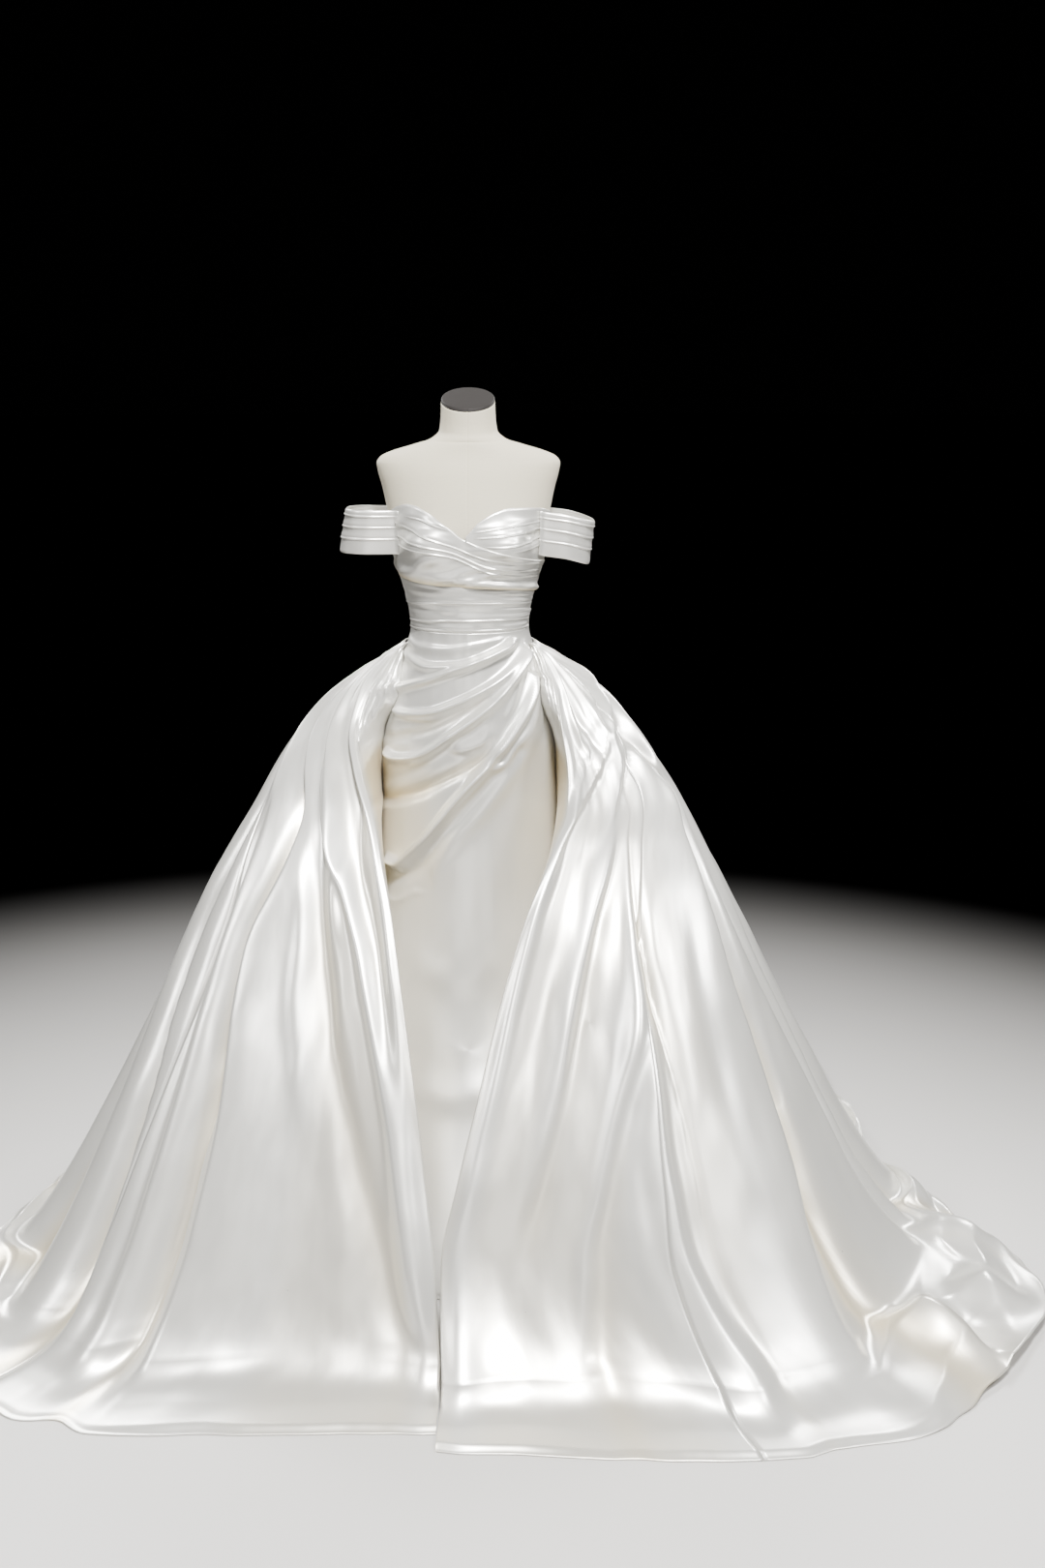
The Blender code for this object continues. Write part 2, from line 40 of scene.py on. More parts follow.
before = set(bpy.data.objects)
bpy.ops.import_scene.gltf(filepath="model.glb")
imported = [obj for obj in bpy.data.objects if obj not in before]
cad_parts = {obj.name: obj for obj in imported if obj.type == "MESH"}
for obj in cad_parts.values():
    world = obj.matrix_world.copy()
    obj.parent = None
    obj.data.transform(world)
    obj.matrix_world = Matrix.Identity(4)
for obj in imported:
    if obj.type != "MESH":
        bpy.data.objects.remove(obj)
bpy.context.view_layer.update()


def table(names, *rows):
    """A short table with named columns."""
    return np.array(list(rows), dtype=[(name, float) for name in names.split()])


# Driving sizes
WAIST_SEAM = 1.213
FORM_BOTTOM = 0.90
CLOTH_GAP = 0.0024
WALL = 0.002
SIDE_SEAM = 88.0
# Mean radii, for lengths round the torso and round the bust and hip
TORSO_RADIUS = 0.11
HIP_RADIUS = 0.15

# The form
NECK_TOP = 1.668
NECK_TILT = 0.36
NECK_CENTRE = -0.004
NECK_SEAM = 1.592
NECK_LEAN_START = 1.60
CAP_HEIGHT = 0.008
CAP_GAP = 0.0003
# The cap's profile as shares of its height and reach: its foot, the arc of its shoulder (middle
# up and out, then rise and reach) and its top
CAP_FOOT = [(0.0, 0.992), (0.30, 0.998)]
CAP_SHOULDER = (0.30, 0.94, 0.55, 0.058)
CAP_TOP = [(0.93, 0.80), (0.98, 0.55), (1.0, 0.25)]
POLE_RADIUS = 0.016
BASE_RADIUS = 0.200
BASE_HEIGHT = 0.022
BASE_EDGE = 0.011
BASE_ROUND = 0.006
POLE_GAP = 0.0006
# The base's collar: radius and height above the base
COLLAR = (
    (0.060, 0.003), (0.042, 0.007), (0.036, 0.020),
    (0.035, 0.040), (0.020, 0.044), (POLE_RADIUS, 0.048),
)
BUST_HEIGHT = 1.382
BUST_ANGLE = 38.0
BUST_RISE = 0.026
BUST_SPREAD = 21.0
BUST_TALL = 0.044
FORM_CUPS = 0.82
# Below this height the form is slimmer by this much, to stay clear of the tucks
SLIM_TOP = 1.375
SLIM_DEPTH = 0.008
# Rows of the form below and above its shoulders, and its columns in degrees
SHOULDER = 1.50
FORM_ROWS = 46
FORM_COLUMN = 3.0
# Extra columns beside each seam, in degrees, and extra rows beside the neck's seam
SEAM_COLUMNS = np.array([-6.0, -3.6, -2.4, -1.6, -0.9, 0.0, 0.9, 1.6, 2.4, 3.6, 6.0])
SEAM_ROWS = np.array([-0.006, -0.004, -0.0025, -0.001, 0.001, 0.0025, 0.004, 0.006])
# Depth and half width of the grooves along the form's seams
SEAM_GROOVE = (0.0009, 0.0016)
NECK_GROOVE = (0.0012, 0.0018)

# Half width, front and back depth of the figure; below the form, of the sheath's fall
FIGURE = table(
    "height half_width front back",
    (0.000, 0.400, 0.600, 0.400),
    (0.120, 0.352, 0.500, 0.345),
    (0.300, 0.290, 0.360, 0.275),
    (0.500, 0.235, 0.240, 0.212),
    (0.700, 0.200, 0.170, 0.168),
    (0.860, 0.188, 0.146, 0.152),
    (0.970, 0.184, 0.139, 0.148),
    (1.050, 0.172, 0.131, 0.140),
    (1.120, 0.151, 0.117, 0.122),
    (1.170, 0.130, 0.104, 0.104),
    (1.212, 0.1185, 0.097, 0.094),
    (1.255, 0.123, 0.099, 0.096),
    (1.307, 0.136, 0.106, 0.103),
    (1.357, 0.151, 0.112, 0.109),
    (1.410, 0.159, 0.112, 0.114),
    (1.456, 0.167, 0.104, 0.117),
    (1.500, 0.176, 0.092, 0.115),
    (1.530, 0.184, 0.083, 0.110),
    (1.548, 0.187, 0.076, 0.105),
    (1.560, 0.180, 0.071, 0.099),
    (1.572, 0.155, 0.067, 0.092),
    (1.584, 0.114, 0.064, 0.083),
    (1.597, 0.075, 0.060, 0.072),
    (1.612, 0.059, 0.056, 0.063),
    (1.640, 0.0555, 0.054, 0.058),
    (NECK_TOP, 0.0545, 0.054, 0.056),
)

# Top edge of the bodice
NECKLINE = table(
    "angle height",
    (-180, 1.392),
    (-140, 1.402),
    (-105, 1.432),
    (-80, 1.452),
    (-70, 1.465),
    (-61, 1.471),
    (-52, 1.469),
    (-43, 1.460),
    (-34, 1.449),
    (-24, 1.436),
    (-14, 1.421),
    (-5, 1.408),
    (11, 1.437),
    (29, 1.457),
    (45, 1.465),
    (66, 1.463),
    (80, 1.455),
    (105, 1.432),
    (140, 1.402),
    (180, 1.392),
)

# Where the left drape crosses under the right cup, and its lower edge
CROSSING = table("angle height", (-6, 1.407), (12, 1.391), (40, 1.370), (66, 1.358), (88, 1.352))
DRAPE_EDGE = table("angle height", (-88, 1.326), (-50, 1.313), (0, 1.307), (40, 1.301), (88, 1.288))

# Pin tucks of the bodice: height of each line at five angles
TUCK_ANGLES = np.array([-88.0, -54.0, -20.0, 25.0, 88.0])
LEFT_TUCKS = table(
    "h1 h2 h3 h4 h5 rise from_angle to_angle",
    (1.450, 1.4450, 1.4235, 1.400, 1.380, 0.0014, -60, -14),
    (1.442, 1.4225, 1.3950, 1.3605, 1.346, 0.0021, -90, 90),
    (1.417, 1.3985, 1.3820, 1.3450, 1.332, 0.0021, -90, 90),
    (1.395, 1.3835, 1.3722, 1.3345, 1.318, 0.0021, -90, 90),
)
RIGHT_TUCKS = table(
    "h1 h2 h3 h4 h5 rise from_angle to_angle",
    (1.40, 1.40, 1.409, 1.4235, 1.440, 0.0018, 4, 90),
    (1.40, 1.40, 1.403, 1.4090, 1.428, 0.0020, 6, 90),
    (1.39, 1.39, 1.392, 1.3890, 1.412, 0.0020, 14, 90),
    (1.38, 1.38, 1.382, 1.3780, 1.392, 0.0014, 34, 90),
)
MIDRIFF_TUCKS = table(
    "h1 h2 h3 h4 h5 rise from_angle to_angle",
    (1.2660, 1.2700, 1.2745, 1.2735, 1.2640, 0.0020, -90, 90),
    (1.2300, 1.2335, 1.2385, 1.2390, 1.2330, 0.0020, -90, 90),
    (1.2155, 1.2165, 1.2180, 1.2185, 1.2160, 0.0018, -90, 90),
)
# The left drape's tucks are calmer by this share near its sides, beyond this angle
CALM_SHARE = 0.65
CALM_ANGLE = 66
TUCK_WIDTH = 0.0013
TUCK_LEAN = 0.35
TUCK_FADE = 8.0
TUCK_SWELL = 0.0012
SWELL_WIDTH = 0.006
# The left drape's rolled lower edge and where it crosses below the right cup
ROLL_RISE = 0.0100
ROLL_SHARE = 0.11
ROLL_WIDTH = 0.10
# Width of the shadow painted along the rolled lower edge
ROLL_SHADOW = 0.07
CROSSING_START = -6
CROSSING_RISE = 0.0035
# How far the midriff and the right drape run on under the left drape, and lie below it
MIDRIFF_OVERLAP = 0.004
MIDRIFF_SINK = 0.0003
CUP_OVERLAP = 0.006
CUP_SINK = 0.0004
# The knot of small folds on the right cup
KNOT_ANGLE = 60
KNOT_HEIGHT = 1.408
# Depth and half width of the groove where the back panels meet
BACK_GROOVE = (0.0012, 0.002)
# Turned edges: share of the piece over which they round off, and how far they fall back
TURNED_EDGES = {
    "left_drape": (0.035, 0.0020),
    "right_drape": (0.05, 0.0018),
    "back_panel": (0.03, 0.0012),
    "sleeve": (0.05, 0.0016),
}
# Columns and rows of each piece's grid
GRIDS = {
    "left_drape": (131, 190),
    "midriff": (105, 130),
    "right_drape": (75, 140),
    "back_panel": (33, 42),
    "sleeve": (91, 100),
    "sheath_front": (141, 240),
    "sheath_back": (41, 56),
}

# Sleeve bands
SLEEVES = table(
    "side reach_top reach_bottom droop stand_off",
    (-1, 0.250, 0.265, -0.002, -0.0010),
    (1, 0.258, 0.248, 0.024, 0.0045),
)
SLEEVE_BOTTOM = 1.368
SLEEVE_TOP = 1.456
SLEEVE_ROOT = 0.150
SLEEVE_HALF_DEPTH = 0.064
SLEEVE_TUCKS = (0.33, 0.61, 0.87)
SLEEVE_TUCK_RISE = 0.0021

# Draped folds of the sheath's front: angles and heights along each fold's line, its widths above
# and below that line, its rise, below zero in a trough, and the length of its left end in degrees
HIP_FOLDS = (
    ((-84, -60, -30, 10, 40), (1.194, 1.184, 1.182, 1.192, 1.202), 0.005, 0.012, 0.0035, 12),
    ((-78, -60, -40, -13, 13, 44), (1.172, 1.156, 1.146, 1.151, 1.165, 1.190), 0.005, 0.012, 0.0095, 10),
    ((-76, -68, -49, -21, 7, 50), (1.106, 1.098, 1.112, 1.136, 1.159, 1.196), 0.005, 0.012, 0.0125, 8),
    ((-66, -56, -40, -9, 34, 62), (1.053, 1.049, 1.052, 1.079, 1.130, 1.180), 0.0055, 0.013, 0.0150, 7),
    ((-72, -60, -44, -13, 26, 60), (0.964, 0.954, 0.961, 1.015, 1.089, 1.172), 0.0055, 0.014, 0.0190, 12),
    ((-64, -53, -41, -9, 26, 62), (0.738, 0.732, 0.764, 0.881, 0.989, 1.120), 0.0060, 0.013, 0.0240, 13),
    ((18, 27, 37, 48, 60, 72), (0.940, 0.950, 0.987, 1.019, 1.082, 1.150), 0.0055, 0.011, 0.0070, 16),
    ((32, 38, 46, 54, 64), (1.048, 1.072, 1.110, 1.145, 1.190), 0.004, 0.008, 0.0045, 10),
    ((-78, -60, -35, -18, 16), (0.985, 0.996, 1.017, 1.038, 1.085), 0.012, 0.010, -0.0050, 18),
    ((-80, -68, -41, -18, 20), (0.850, 0.859, 0.886, 0.918, 0.965), 0.016, 0.012, -0.0110, 22),
    ((-58, -44, -14, 16, 40), (0.700, 0.712, 0.810, 0.905, 0.975), 0.010, 0.014, -0.0050, 16),
    ((-26, -12, 10, 34, 64), (0.745, 0.800, 0.860, 0.940, 1.060), 0.030, 0.022, 0.0080, 22),
    ((-14, -4, 8, 18), (0.982, 0.984, 0.994, 1.012), 0.022, 0.012, 0.0080, 14),
    ((-60, -54, -46, -38), (0.655, 0.652, 0.662, 0.680), 0.006, 0.010, 0.0030, 8),
    ((-40, -24, -8, 8), (0.350, 0.322, 0.308, 0.322), 0.030, 0.022, 0.0050, 16),
    ((-34, -22, -6, 10), (0.560, 0.530, 0.520, 0.545), 0.030, 0.024, 0.0040, 16),
)

# The sheath's rows are closer together above this height
HIP_END = 0.65
SHEATH_HEM = 0.002
# How deep a trough takes its full painted warm shade, and how strong that painted shade is in troughs and at
# the sides
SHEATH_TROUGH = 0.010
TROUGH_SHADE = 0.5
SIDE_SHADE = 0.6
# The sides get painted shade beyond this angle and below this height, over these distances
SIDE_ANGLE = (60, 26)
SIDE_TOP = (1.02, 0.12)
# Height below which the sheath has its longer ripples, and over what distance they set in
LOW_RIPPLES = (0.95, 0.3)

# Overskirt
OVERSKIRT_TOP = 1.180
# How far its top stands off the sheath, whose folds stand out by up to their room
TOP_GAP = 0.00192
FOLD_ROOM = 0.008
# Share of the way out that the cloth has reached at each share of the way down
FALL = table(
    "down out",
    (0.000, 0.000),
    (0.020, 0.020),
    (0.050, 0.086),
    (0.100, 0.176),
    (0.170, 0.254),
    (0.260, 0.342),
    (0.380, 0.455),
    (0.510, 0.565),
    (0.620, 0.658),
    (0.730, 0.755),
    (0.850, 0.861),
    (1.000, 1.000),
)
# Turn and radius of the two front edges at each height
FRONT_EDGES = table(
    "height left left_radius right right_radius",
    (0.000, -177.8, 0.898, 181.8, 0.950),
    (0.190, -176.6, 0.797, 182.6, 0.800),
    (0.310, -174.7, 0.724, 180.7, 0.735),
    (0.450, -171.8, 0.642, 177.2, 0.643),
    (0.585, -167.7, 0.555, 172.6, 0.553),
    (0.720, -161.8, 0.465, 165.2, 0.468),
    (0.830, -153.6, 0.388, 154.0, 0.389),
    (0.890, -147.0, 0.347, 144.5, 0.348),
    (0.960, -134.0, 0.303, 137.0, 0.303),
    (1.040, -116.0, 0.256, 131.0, 0.252),
    (1.110, -108.0, 0.212, 120.0, 0.205),
    (1.180, -105.0, 0.143, 106.0, 0.143),
)
EDGE_SPREAD = 0.065
# Where the cloth meets the floor and where its hem lies, by turn
FOOTPRINT = table(
    "turn ground hem",
    (-180, 0.898, 1.015),
    (-165, 0.950, 1.100),
    (-155, 0.990, 1.165),
    (-141, 1.055, 1.245),
    (-124, 1.010, 1.225),
    (-113, 0.930, 1.045),
    (-103, 0.860, 0.905),
    (-88, 0.815, 0.860),
    (-68, 0.800, 0.910),
    (-48, 0.820, 1.090),
    (-25, 0.820, 1.230),
    (0, 0.820, 1.310),
    (25, 0.820, 1.230),
    (48, 0.820, 1.080),
    (66, 0.830, 0.930),
    (82, 0.845, 0.890),
    (97, 0.895, 0.940),
    (104, 0.925, 1.050),
    (113, 0.960, 1.225),
    (122, 1.010, 1.290),
    (134, 1.075, 1.305),
    (146, 1.110, 1.262),
    (162, 1.030, 1.180),
    (172, 0.975, 1.105),
    (180, 0.950, 1.065),
)
# Folds of the overskirt: share round at five shares of the way down; a negative rise is a trough
FOLD_STATIONS = np.array([0.10, 0.25, 0.45, 0.70, 0.97])
FOLDS = table(
    "s1 s2 s3 s4 s5 width rise lean start end",
    # Left front, from its edge
    (0.006, 0.006, 0.006, 0.006, 0.006, 0.005, 0.010, 0.2, 0.00, 1.2),
    (0.030, 0.029, 0.016, 0.010, 0.010, 0.010, -0.010, 0.0, 0.10, 0.8),
    (0.064, 0.051, 0.025, 0.012, 0.008, 0.006, 0.020, -0.3, 0.05, 1.0),
    (0.060, 0.063, 0.052, 0.032, 0.010, 0.007, -0.013, 0.0, 0.12, 1.1),
    (0.066, 0.063, 0.064, 0.052, 0.045, 0.005, 0.008, 0.0, 0.15, 0.75),
    (0.072, 0.069, 0.089, 0.083, 0.083, 0.012, 0.044, -0.6, 0.06, 1.2),
    (0.078, 0.083, 0.0965, 0.0945, 0.0925, 0.004, -0.036, 0.0, 0.08, 1.2),
    (0.095, 0.092, 0.091, 0.0900, 0.0890, 0.0022, 0.010, 0.0, 0.62, 1.0),
    (0.078, 0.104, 0.108, 0.104, 0.101, 0.009, 0.024, -0.4, 0.02, 1.2),
    (0.072, 0.106, 0.114, 0.109, 0.105, 0.003, -0.012, 0.0, 0.12, 1.1),
    (0.110, 0.118, 0.129, 0.119, 0.112, 0.010, 0.038, -0.6, 0.05, 1.2),
    (0.122, 0.130, 0.140, 0.128, 0.120, 0.005, -0.036, 0.0, 0.08, 1.2),
    (0.150, 0.148, 0.158, 0.145, 0.138, 0.012, 0.042, -0.3, 0.00, 1.2),
    # Round the left side and the train
    (0.165, 0.166, 0.174, 0.162, 0.158, 0.007, -0.030, 0.0, 0.05, 1.2),
    (0.188, 0.184, 0.190, 0.182, 0.176, 0.013, 0.042, 0.2, 0.00, 1.2),
    (0.215, 0.207, 0.206, 0.202, 0.198, 0.007, -0.030, 0.0, 0.08, 1.2),
    (0.236, 0.230, 0.227, 0.220, 0.217, 0.016, 0.044, -0.3, 0.00, 1.2),
    (0.262, 0.256, 0.250, 0.246, 0.244, 0.006, -0.028, 0.0, 0.12, 1.2),
    (0.287, 0.280, 0.276, 0.266, 0.262, 0.018, 0.050, 0.3, 0.00, 1.2),
    (0.318, 0.312, 0.304, 0.297, 0.290, 0.008, -0.034, 0.0, 0.06, 1.2),
    (0.350, 0.340, 0.334, 0.330, 0.327, 0.020, 0.046, -0.2, 0.00, 1.2),
    (0.374, 0.368, 0.364, 0.361, 0.358, 0.007, -0.030, 0.0, 0.10, 1.2),
    (0.398, 0.393, 0.389, 0.386, 0.383, 0.017, 0.054, 0.3, 0.00, 1.2),
    (0.430, 0.426, 0.420, 0.414, 0.410, 0.009, -0.030, 0.0, 0.05, 1.2),
    (0.462, 0.458, 0.455, 0.452, 0.450, 0.022, 0.050, -0.1, 0.00, 1.2),
    (0.494, 0.492, 0.490, 0.488, 0.486, 0.008, -0.036, 0.0, 0.08, 1.2),
    (0.520, 0.521, 0.522, 0.523, 0.525, 0.017, 0.056, 0.2, 0.00, 1.2),
    (0.550, 0.554, 0.557, 0.560, 0.563, 0.009, -0.028, 0.0, 0.10, 1.2),
    (0.580, 0.587, 0.594, 0.600, 0.604, 0.021, 0.048, -0.2, 0.00, 1.2),
    (0.612, 0.622, 0.630, 0.636, 0.640, 0.007, -0.034, 0.0, 0.05, 1.2),
    (0.638, 0.648, 0.657, 0.663, 0.666, 0.016, 0.050, 0.2, 0.00, 1.2),
    (0.668, 0.678, 0.686, 0.692, 0.694, 0.008, -0.026, 0.0, 0.12, 1.2),
    (0.696, 0.708, 0.718, 0.724, 0.727, 0.018, 0.046, -0.2, 0.00, 1.2),
    (0.722, 0.736, 0.746, 0.752, 0.756, 0.007, -0.032, 0.0, 0.06, 1.2),
    (0.748, 0.762, 0.770, 0.774, 0.776, 0.013, 0.042, 0.2, 0.00, 1.2),
    (0.776, 0.788, 0.794, 0.795, 0.796, 0.006, -0.026, 0.0, 0.08, 1.2),
    (0.806, 0.816, 0.822, 0.809, 0.806, 0.010, 0.034, 0.4, 0.00, 1.2),
    # Right side and right front, up to its edge
    (0.886, 0.868, 0.838, 0.8165, 0.812, 0.004, -0.026, 0.0, 0.08, 1.2),
    (0.902, 0.881, 0.852, 0.829, 0.822, 0.012, 0.036, 0.5, 0.00, 1.2),
    (0.922, 0.889, 0.865, 0.857, 0.868, 0.005, -0.030, 0.0, 0.06, 1.2),
    (0.932, 0.899, 0.877, 0.870, 0.884, 0.011, 0.032, 0.6, 0.04, 1.2),
    (0.922, 0.933, 0.923, 0.911, 0.909, 0.0040, -0.012, 0.0, 0.08, 0.62),
    (0.922, 0.933, 0.923, 0.911, 0.909, 0.0010, -0.004, 0.0, 0.20, 1.2),
    (0.925, 0.925, 0.926, 0.924, 0.916, 0.0085, 0.030, 0.5, 0.42, 1.2),
    (0.940, 0.940, 0.936, 0.931, 0.922, 0.0030, -0.005, 0.0, 0.62, 1.0),
    (0.930, 0.934, 0.930, 0.9425, 0.956, 0.0050, 0.011, -0.4, 0.12, 1.0),
    (0.920, 0.921, 0.922, 0.9375, 0.951, 0.0050, -0.014, 0.0, 0.42, 1.2),
    (0.925, 0.947, 0.957, 0.964, 0.968, 0.0080, 0.013, 0.0, 0.08, 0.8),
    (0.945, 0.940, 0.950, 0.962, 0.974, 0.0050, -0.012, 0.0, 0.28, 0.9),
    (0.979, 0.957, 0.950, 0.950, 0.950, 0.0040, -0.010, 0.0, 0.01, 0.3),
    (0.940, 0.996, 1.001, 1.002, 1.002, 0.0065, 0.022, -0.5, 0.02, 0.42),
    (0.952, 0.950, 0.950, 0.950, 0.950, 0.0028, -0.008, 0.0, 0.00, 0.24),
    (0.994, 0.994, 0.994, 0.994, 0.994, 0.0050, 0.010, -0.2, 0.00, 1.2),
)
FOLD_REST = 0.016
# Share of their rise that the folds lose towards the hem on the floor
LYING_CALM = 0.6
# How far the rim at the waist falls back and rises
RIM_BACK = 0.006
RIM_RISE = 0.003
# Share of the way down where the folds are full, depth at which a trough takes its full painted
# shade, and that painted shade's strength
FOLD_FULL = 0.46
FOLD_TROUGH = 0.035
FOLD_SHADE = 0.7
# Gathers at the waist seam: their number, the part of the way round that has them, and the ranges
# of their drift, width, rise and length
GATHERS = 40
GATHER_SEED = 7
GATHER_SHARES = (0.12, 0.89)
GATHER_DRIFTS = (-0.03, 0.03)
GATHER_WIDTHS = (0.0050, 0.0085)
GATHER_RISES = (0.007, 0.016)
GATHER_LENGTHS = (0.08, 0.28)
# Gathers at the two front corners of the waist: share at the top and at their lower end
CORNER_GATHERS = table(
    "top low length width rise",
    (0.005, 0.004, 0.34, 0.0045, 0.012),
    (0.016, 0.018, 0.12, 0.0028, 0.007),
    (0.024, 0.022, 0.30, 0.0060, -0.012),
    (0.032, 0.034, 0.10, 0.0028, 0.007),
    (0.043, 0.046, 0.46, 0.0062, 0.020),
    (0.0575, 0.060, 0.24, 0.0040, -0.017),
    (0.070, 0.073, 0.22, 0.0050, 0.014),
    (0.082, 0.090, 0.26, 0.0045, -0.014),
    (0.096, 0.108, 0.28, 0.0065, 0.015),
    (0.110, 0.126, 0.28, 0.0050, -0.012),
    (0.866, 1.000, 0.27, 0.0075, 0.012),
    (0.872, 0.954, 0.30, 0.0060, -0.014),
    (0.890, 0.902, 0.28, 0.0060, 0.012),
    (0.900, 0.940, 0.16, 0.0040, -0.010),
    (0.962, 0.936, 0.14, 0.0045, 0.014),
    (0.976, 0.952, 0.16, 0.0040, -0.013),
    (0.998, 0.966, 0.18, 0.0045, 0.012),
    (0.948, 0.926, 0.10, 0.0030, 0.008),
)
# Where the cloth bends from hanging to lying: how softly, and its slope there
BEND = 0.075
FOOT_SLOPE = 1.7
FOOT_DROP = 0.27
# Beyond its front edges the cloth turns in and runs back to the sheath's side
TURN_IN = 0.02
TURN_IN_ANGLE = 80.0
# Below the sunk top it sinks in behind the edge by this depth; above, it bridges in gathers
SUNK_TOP = 0.995
SUNK_DEPTH = 0.045
TURN_IN_GATHERS = (0.36, 0.64, 0.92)
TURN_IN_LIFT = 0.016
TURN_IN_WIDTH = 0.075
# The bridging cloth's gap to the sheath and how far it bows forwards
TURN_IN_GAP = 0.0006
BRIDGE_BOW = 0.012
# Strength of the painted warm shade where the cloth sinks in low down
SUNK_SHADE = 0.45
# Where it runs further round the sheath: by how many degrees, at what height and how far up and down
TURN_IN_SWAY = (15, 1.085, 0.06)
# Heights above which it bridges to the sheath and above which it is gathered, and the hem below
BRIDGE_BOTTOM = 0.12
GATHERED_BOTTOM = 0.955
TURNED_HEM = 0.030
# Rows of a gore: its turned rim, then stretches down it, finer near the waist and the floor
RIM_ROWS = (-0.01, -0.006, -0.002)
GORE_ROWS = ((0.0, 0.14, 28), (0.14, 0.90, 96), (0.90, 1.0, 16))
FLOOR_ROWS = 50
TURN_IN_COLUMNS = 19
# Gores, from the left front edge round the back to the right one: name, end of its share, columns
GORES = (
    ("left_front", 0.115, 112),
    ("left_side", 0.255, 82),
    ("left_train", 0.500, 84),
    ("right_train", 0.745, 84),
    ("right_side", 0.925, 122),
    ("right_front", 1.000, 96),
)
# Lowest that the cloth's outer side lies, and how much of the run counts as lying on the floor
LYING_HEIGHT = 0.0022
FLOOR_RUN = 0.25
# Heaps on the floor: share of the crests' rise, height of the creases, of the hem's waves and of
# the folds that run on, then how often the creases repeat round it, their number and their seed
HEAP_CRESTS = 0.90
HEAP_CREASES = 0.046
HEM_WAVES = 0.008
HEAP_FOLDS = 0.30
CREASE_REPEATS = 7.0
CREASE_POINTS = 26
CREASE_SEED = 71
# Shares of the way round between which the cloth is heaped
HEAPED = (0.125, 0.895)
# Crests of the cloth that lies heaped on the floor at the sides and behind
CRESTS = table(
    "round out width length rise",
    (0.165, 0.55, 0.010, 0.30, 0.040),
    (0.196, 0.50, 0.010, 0.34, 0.034),
    (0.235, 0.55, 0.012, 0.30, 0.030),
    (0.360, 0.60, 0.016, 0.30, 0.022),
    (0.445, 0.55, 0.016, 0.34, 0.022),
    (0.560, 0.60, 0.016, 0.30, 0.022),
    (0.650, 0.55, 0.014, 0.30, 0.022),
    (0.782, 0.60, 0.010, 0.30, 0.036),
    (0.808, 0.45, 0.009, 0.32, 0.046),
    (0.832, 0.62, 0.009, 0.28, 0.040),
    (0.858, 0.45, 0.009, 0.30, 0.044),
    (0.884, 0.60, 0.009, 0.26, 0.030),
)

# Small wrinkles: height or share, cells across, cells along and seed of each
RIPPLES = {
    "roll": (0.3, 9, 2, 3),
    "left_drape": (0.0030, 22, 3, 11),
    "midriff_pull": (0.0020, 5, 22, 5),
    "midriff": (0.0016, 8, 9, 17),
    "knot": (0.0060, 15, 10, 23),
    "back_panel": (0.0008, 9, 5, 31),
    "sleeve_left": (0.0012, 9, 3, 41),
    "sleeve_right": (0.0012, 9, 3, 43),
    "sheath_low": (0.004, 7, 5, 51),
    "sheath": (0.0009, 22, 18, 53),
    "overskirt": (0.0034, 84, 7, 61),
    "overskirt_fine": (0.0014, 150, 22, 63),
    "hem": (0.5, 46, 2, 73),
}

# Camera: the photo's 1080 x 1620 frame, seen from in front at about eye height
CAMERA_PLACE = (0.110, -3.5, 1.79)
CAMERA_PITCH = 14.7
CAMERA_LENS = 38.89
CAMERA_SENSOR = 36.0
# Satin: scale and detail of its tone, threads and slubs; ranges of its tone and roughness; strength
# and depth of the relief of slubs and threads
SATIN_TONE = ((3.0, 2.0, 1.0), 2.0)
SATIN_THREADS = ((2400.0, 160.0, 1.0), 2.0)
SATIN_SLUBS = ((55.0, 16.0, 1.0), 3.0)
SATIN_TONES = (0.94, 1.03)
SATIN_ROUGHNESS = (0.25, 0.35)
SLUB_RELIEF = (0.25, 0.0006)
THREAD_RELIEF = (0.12, 0.0002)
SATIN_LOOK = {
    "Metallic": 0.55,
    "Anisotropic": 0.3,
    "Specular IOR Level": 0.8,
    "Sheen Weight": 0.08,
    "Sheen Roughness": 0.3,
}
# Linen: scales of its two sets of threads, range of its tone, and its relief
LINEN_WARP = (900.0, 900.0, 60.0)
LINEN_WEFT = (60.0, 60.0, 900.0)
LINEN_TONES = (0.90, 1.05)
LINEN_RELIEF = (0.35, 0.0005)
LINEN_LOOK = {"Roughness": 0.82, "Sheen Weight": 0.15, "Sheen Roughness": 0.5}
# Hard finishes: how far their roughness varies down and up, and their relief; then roughness, metal
# and scale of the cap and the stand
HARD_SPREAD = (0.06, 0.10)
HARD_RELIEF = (0.15, 0.0004)
CAP_LOOK = (0.6, 0.0, (90, 90, 14))
CAP_GLOSS = 0.12
STEEL_LOOK = (0.32, 1.0, (6, 6, 400))

# The pale floor: its size, the middle of its painted pool of light and the distances between which
# that painted light fades to black
FLOOR_RADIUS = 40.0
LIGHT_POOL_MIDDLE = (-0.1, -1.0, 0.0)
LIGHT_POOL_EDGE = 0.9
LIGHT_POOL_END = 3.3
# How bright the camera sees the background, as a share of its light on the dress
SEEN_BACKGROUND = 0.02
# Soft lights that face one point: name, place, size, power and colour
LIGHTS_AIM = (0.0, 0.0, 0.8)
LIGHTS = (
    ("key_light", (0.6, -2.8, 5.5), 0.8, 860, (1.0, 0.995, 0.98)),
    ("left_light", (-3.0, -2.2, 4.2), 0.7, 85, (1.0, 1.0, 1.0)),
    ("right_light", (3.0, -2.2, 4.2), 0.7, 180, (1.0, 1.0, 1.0)),
    ("fill_light", (0.0, -5.0, 1.6), 2.4, 30, (1.0, 0.98, 0.95)),
    ("back_light", (-2.4, 3.2, 3.8), 1.0, 220, (1.0, 1.0, 1.0)),
    ("back_right_light", (2.4, 3.2, 3.6), 1.0, 170, (1.0, 1.0, 1.0)),
)


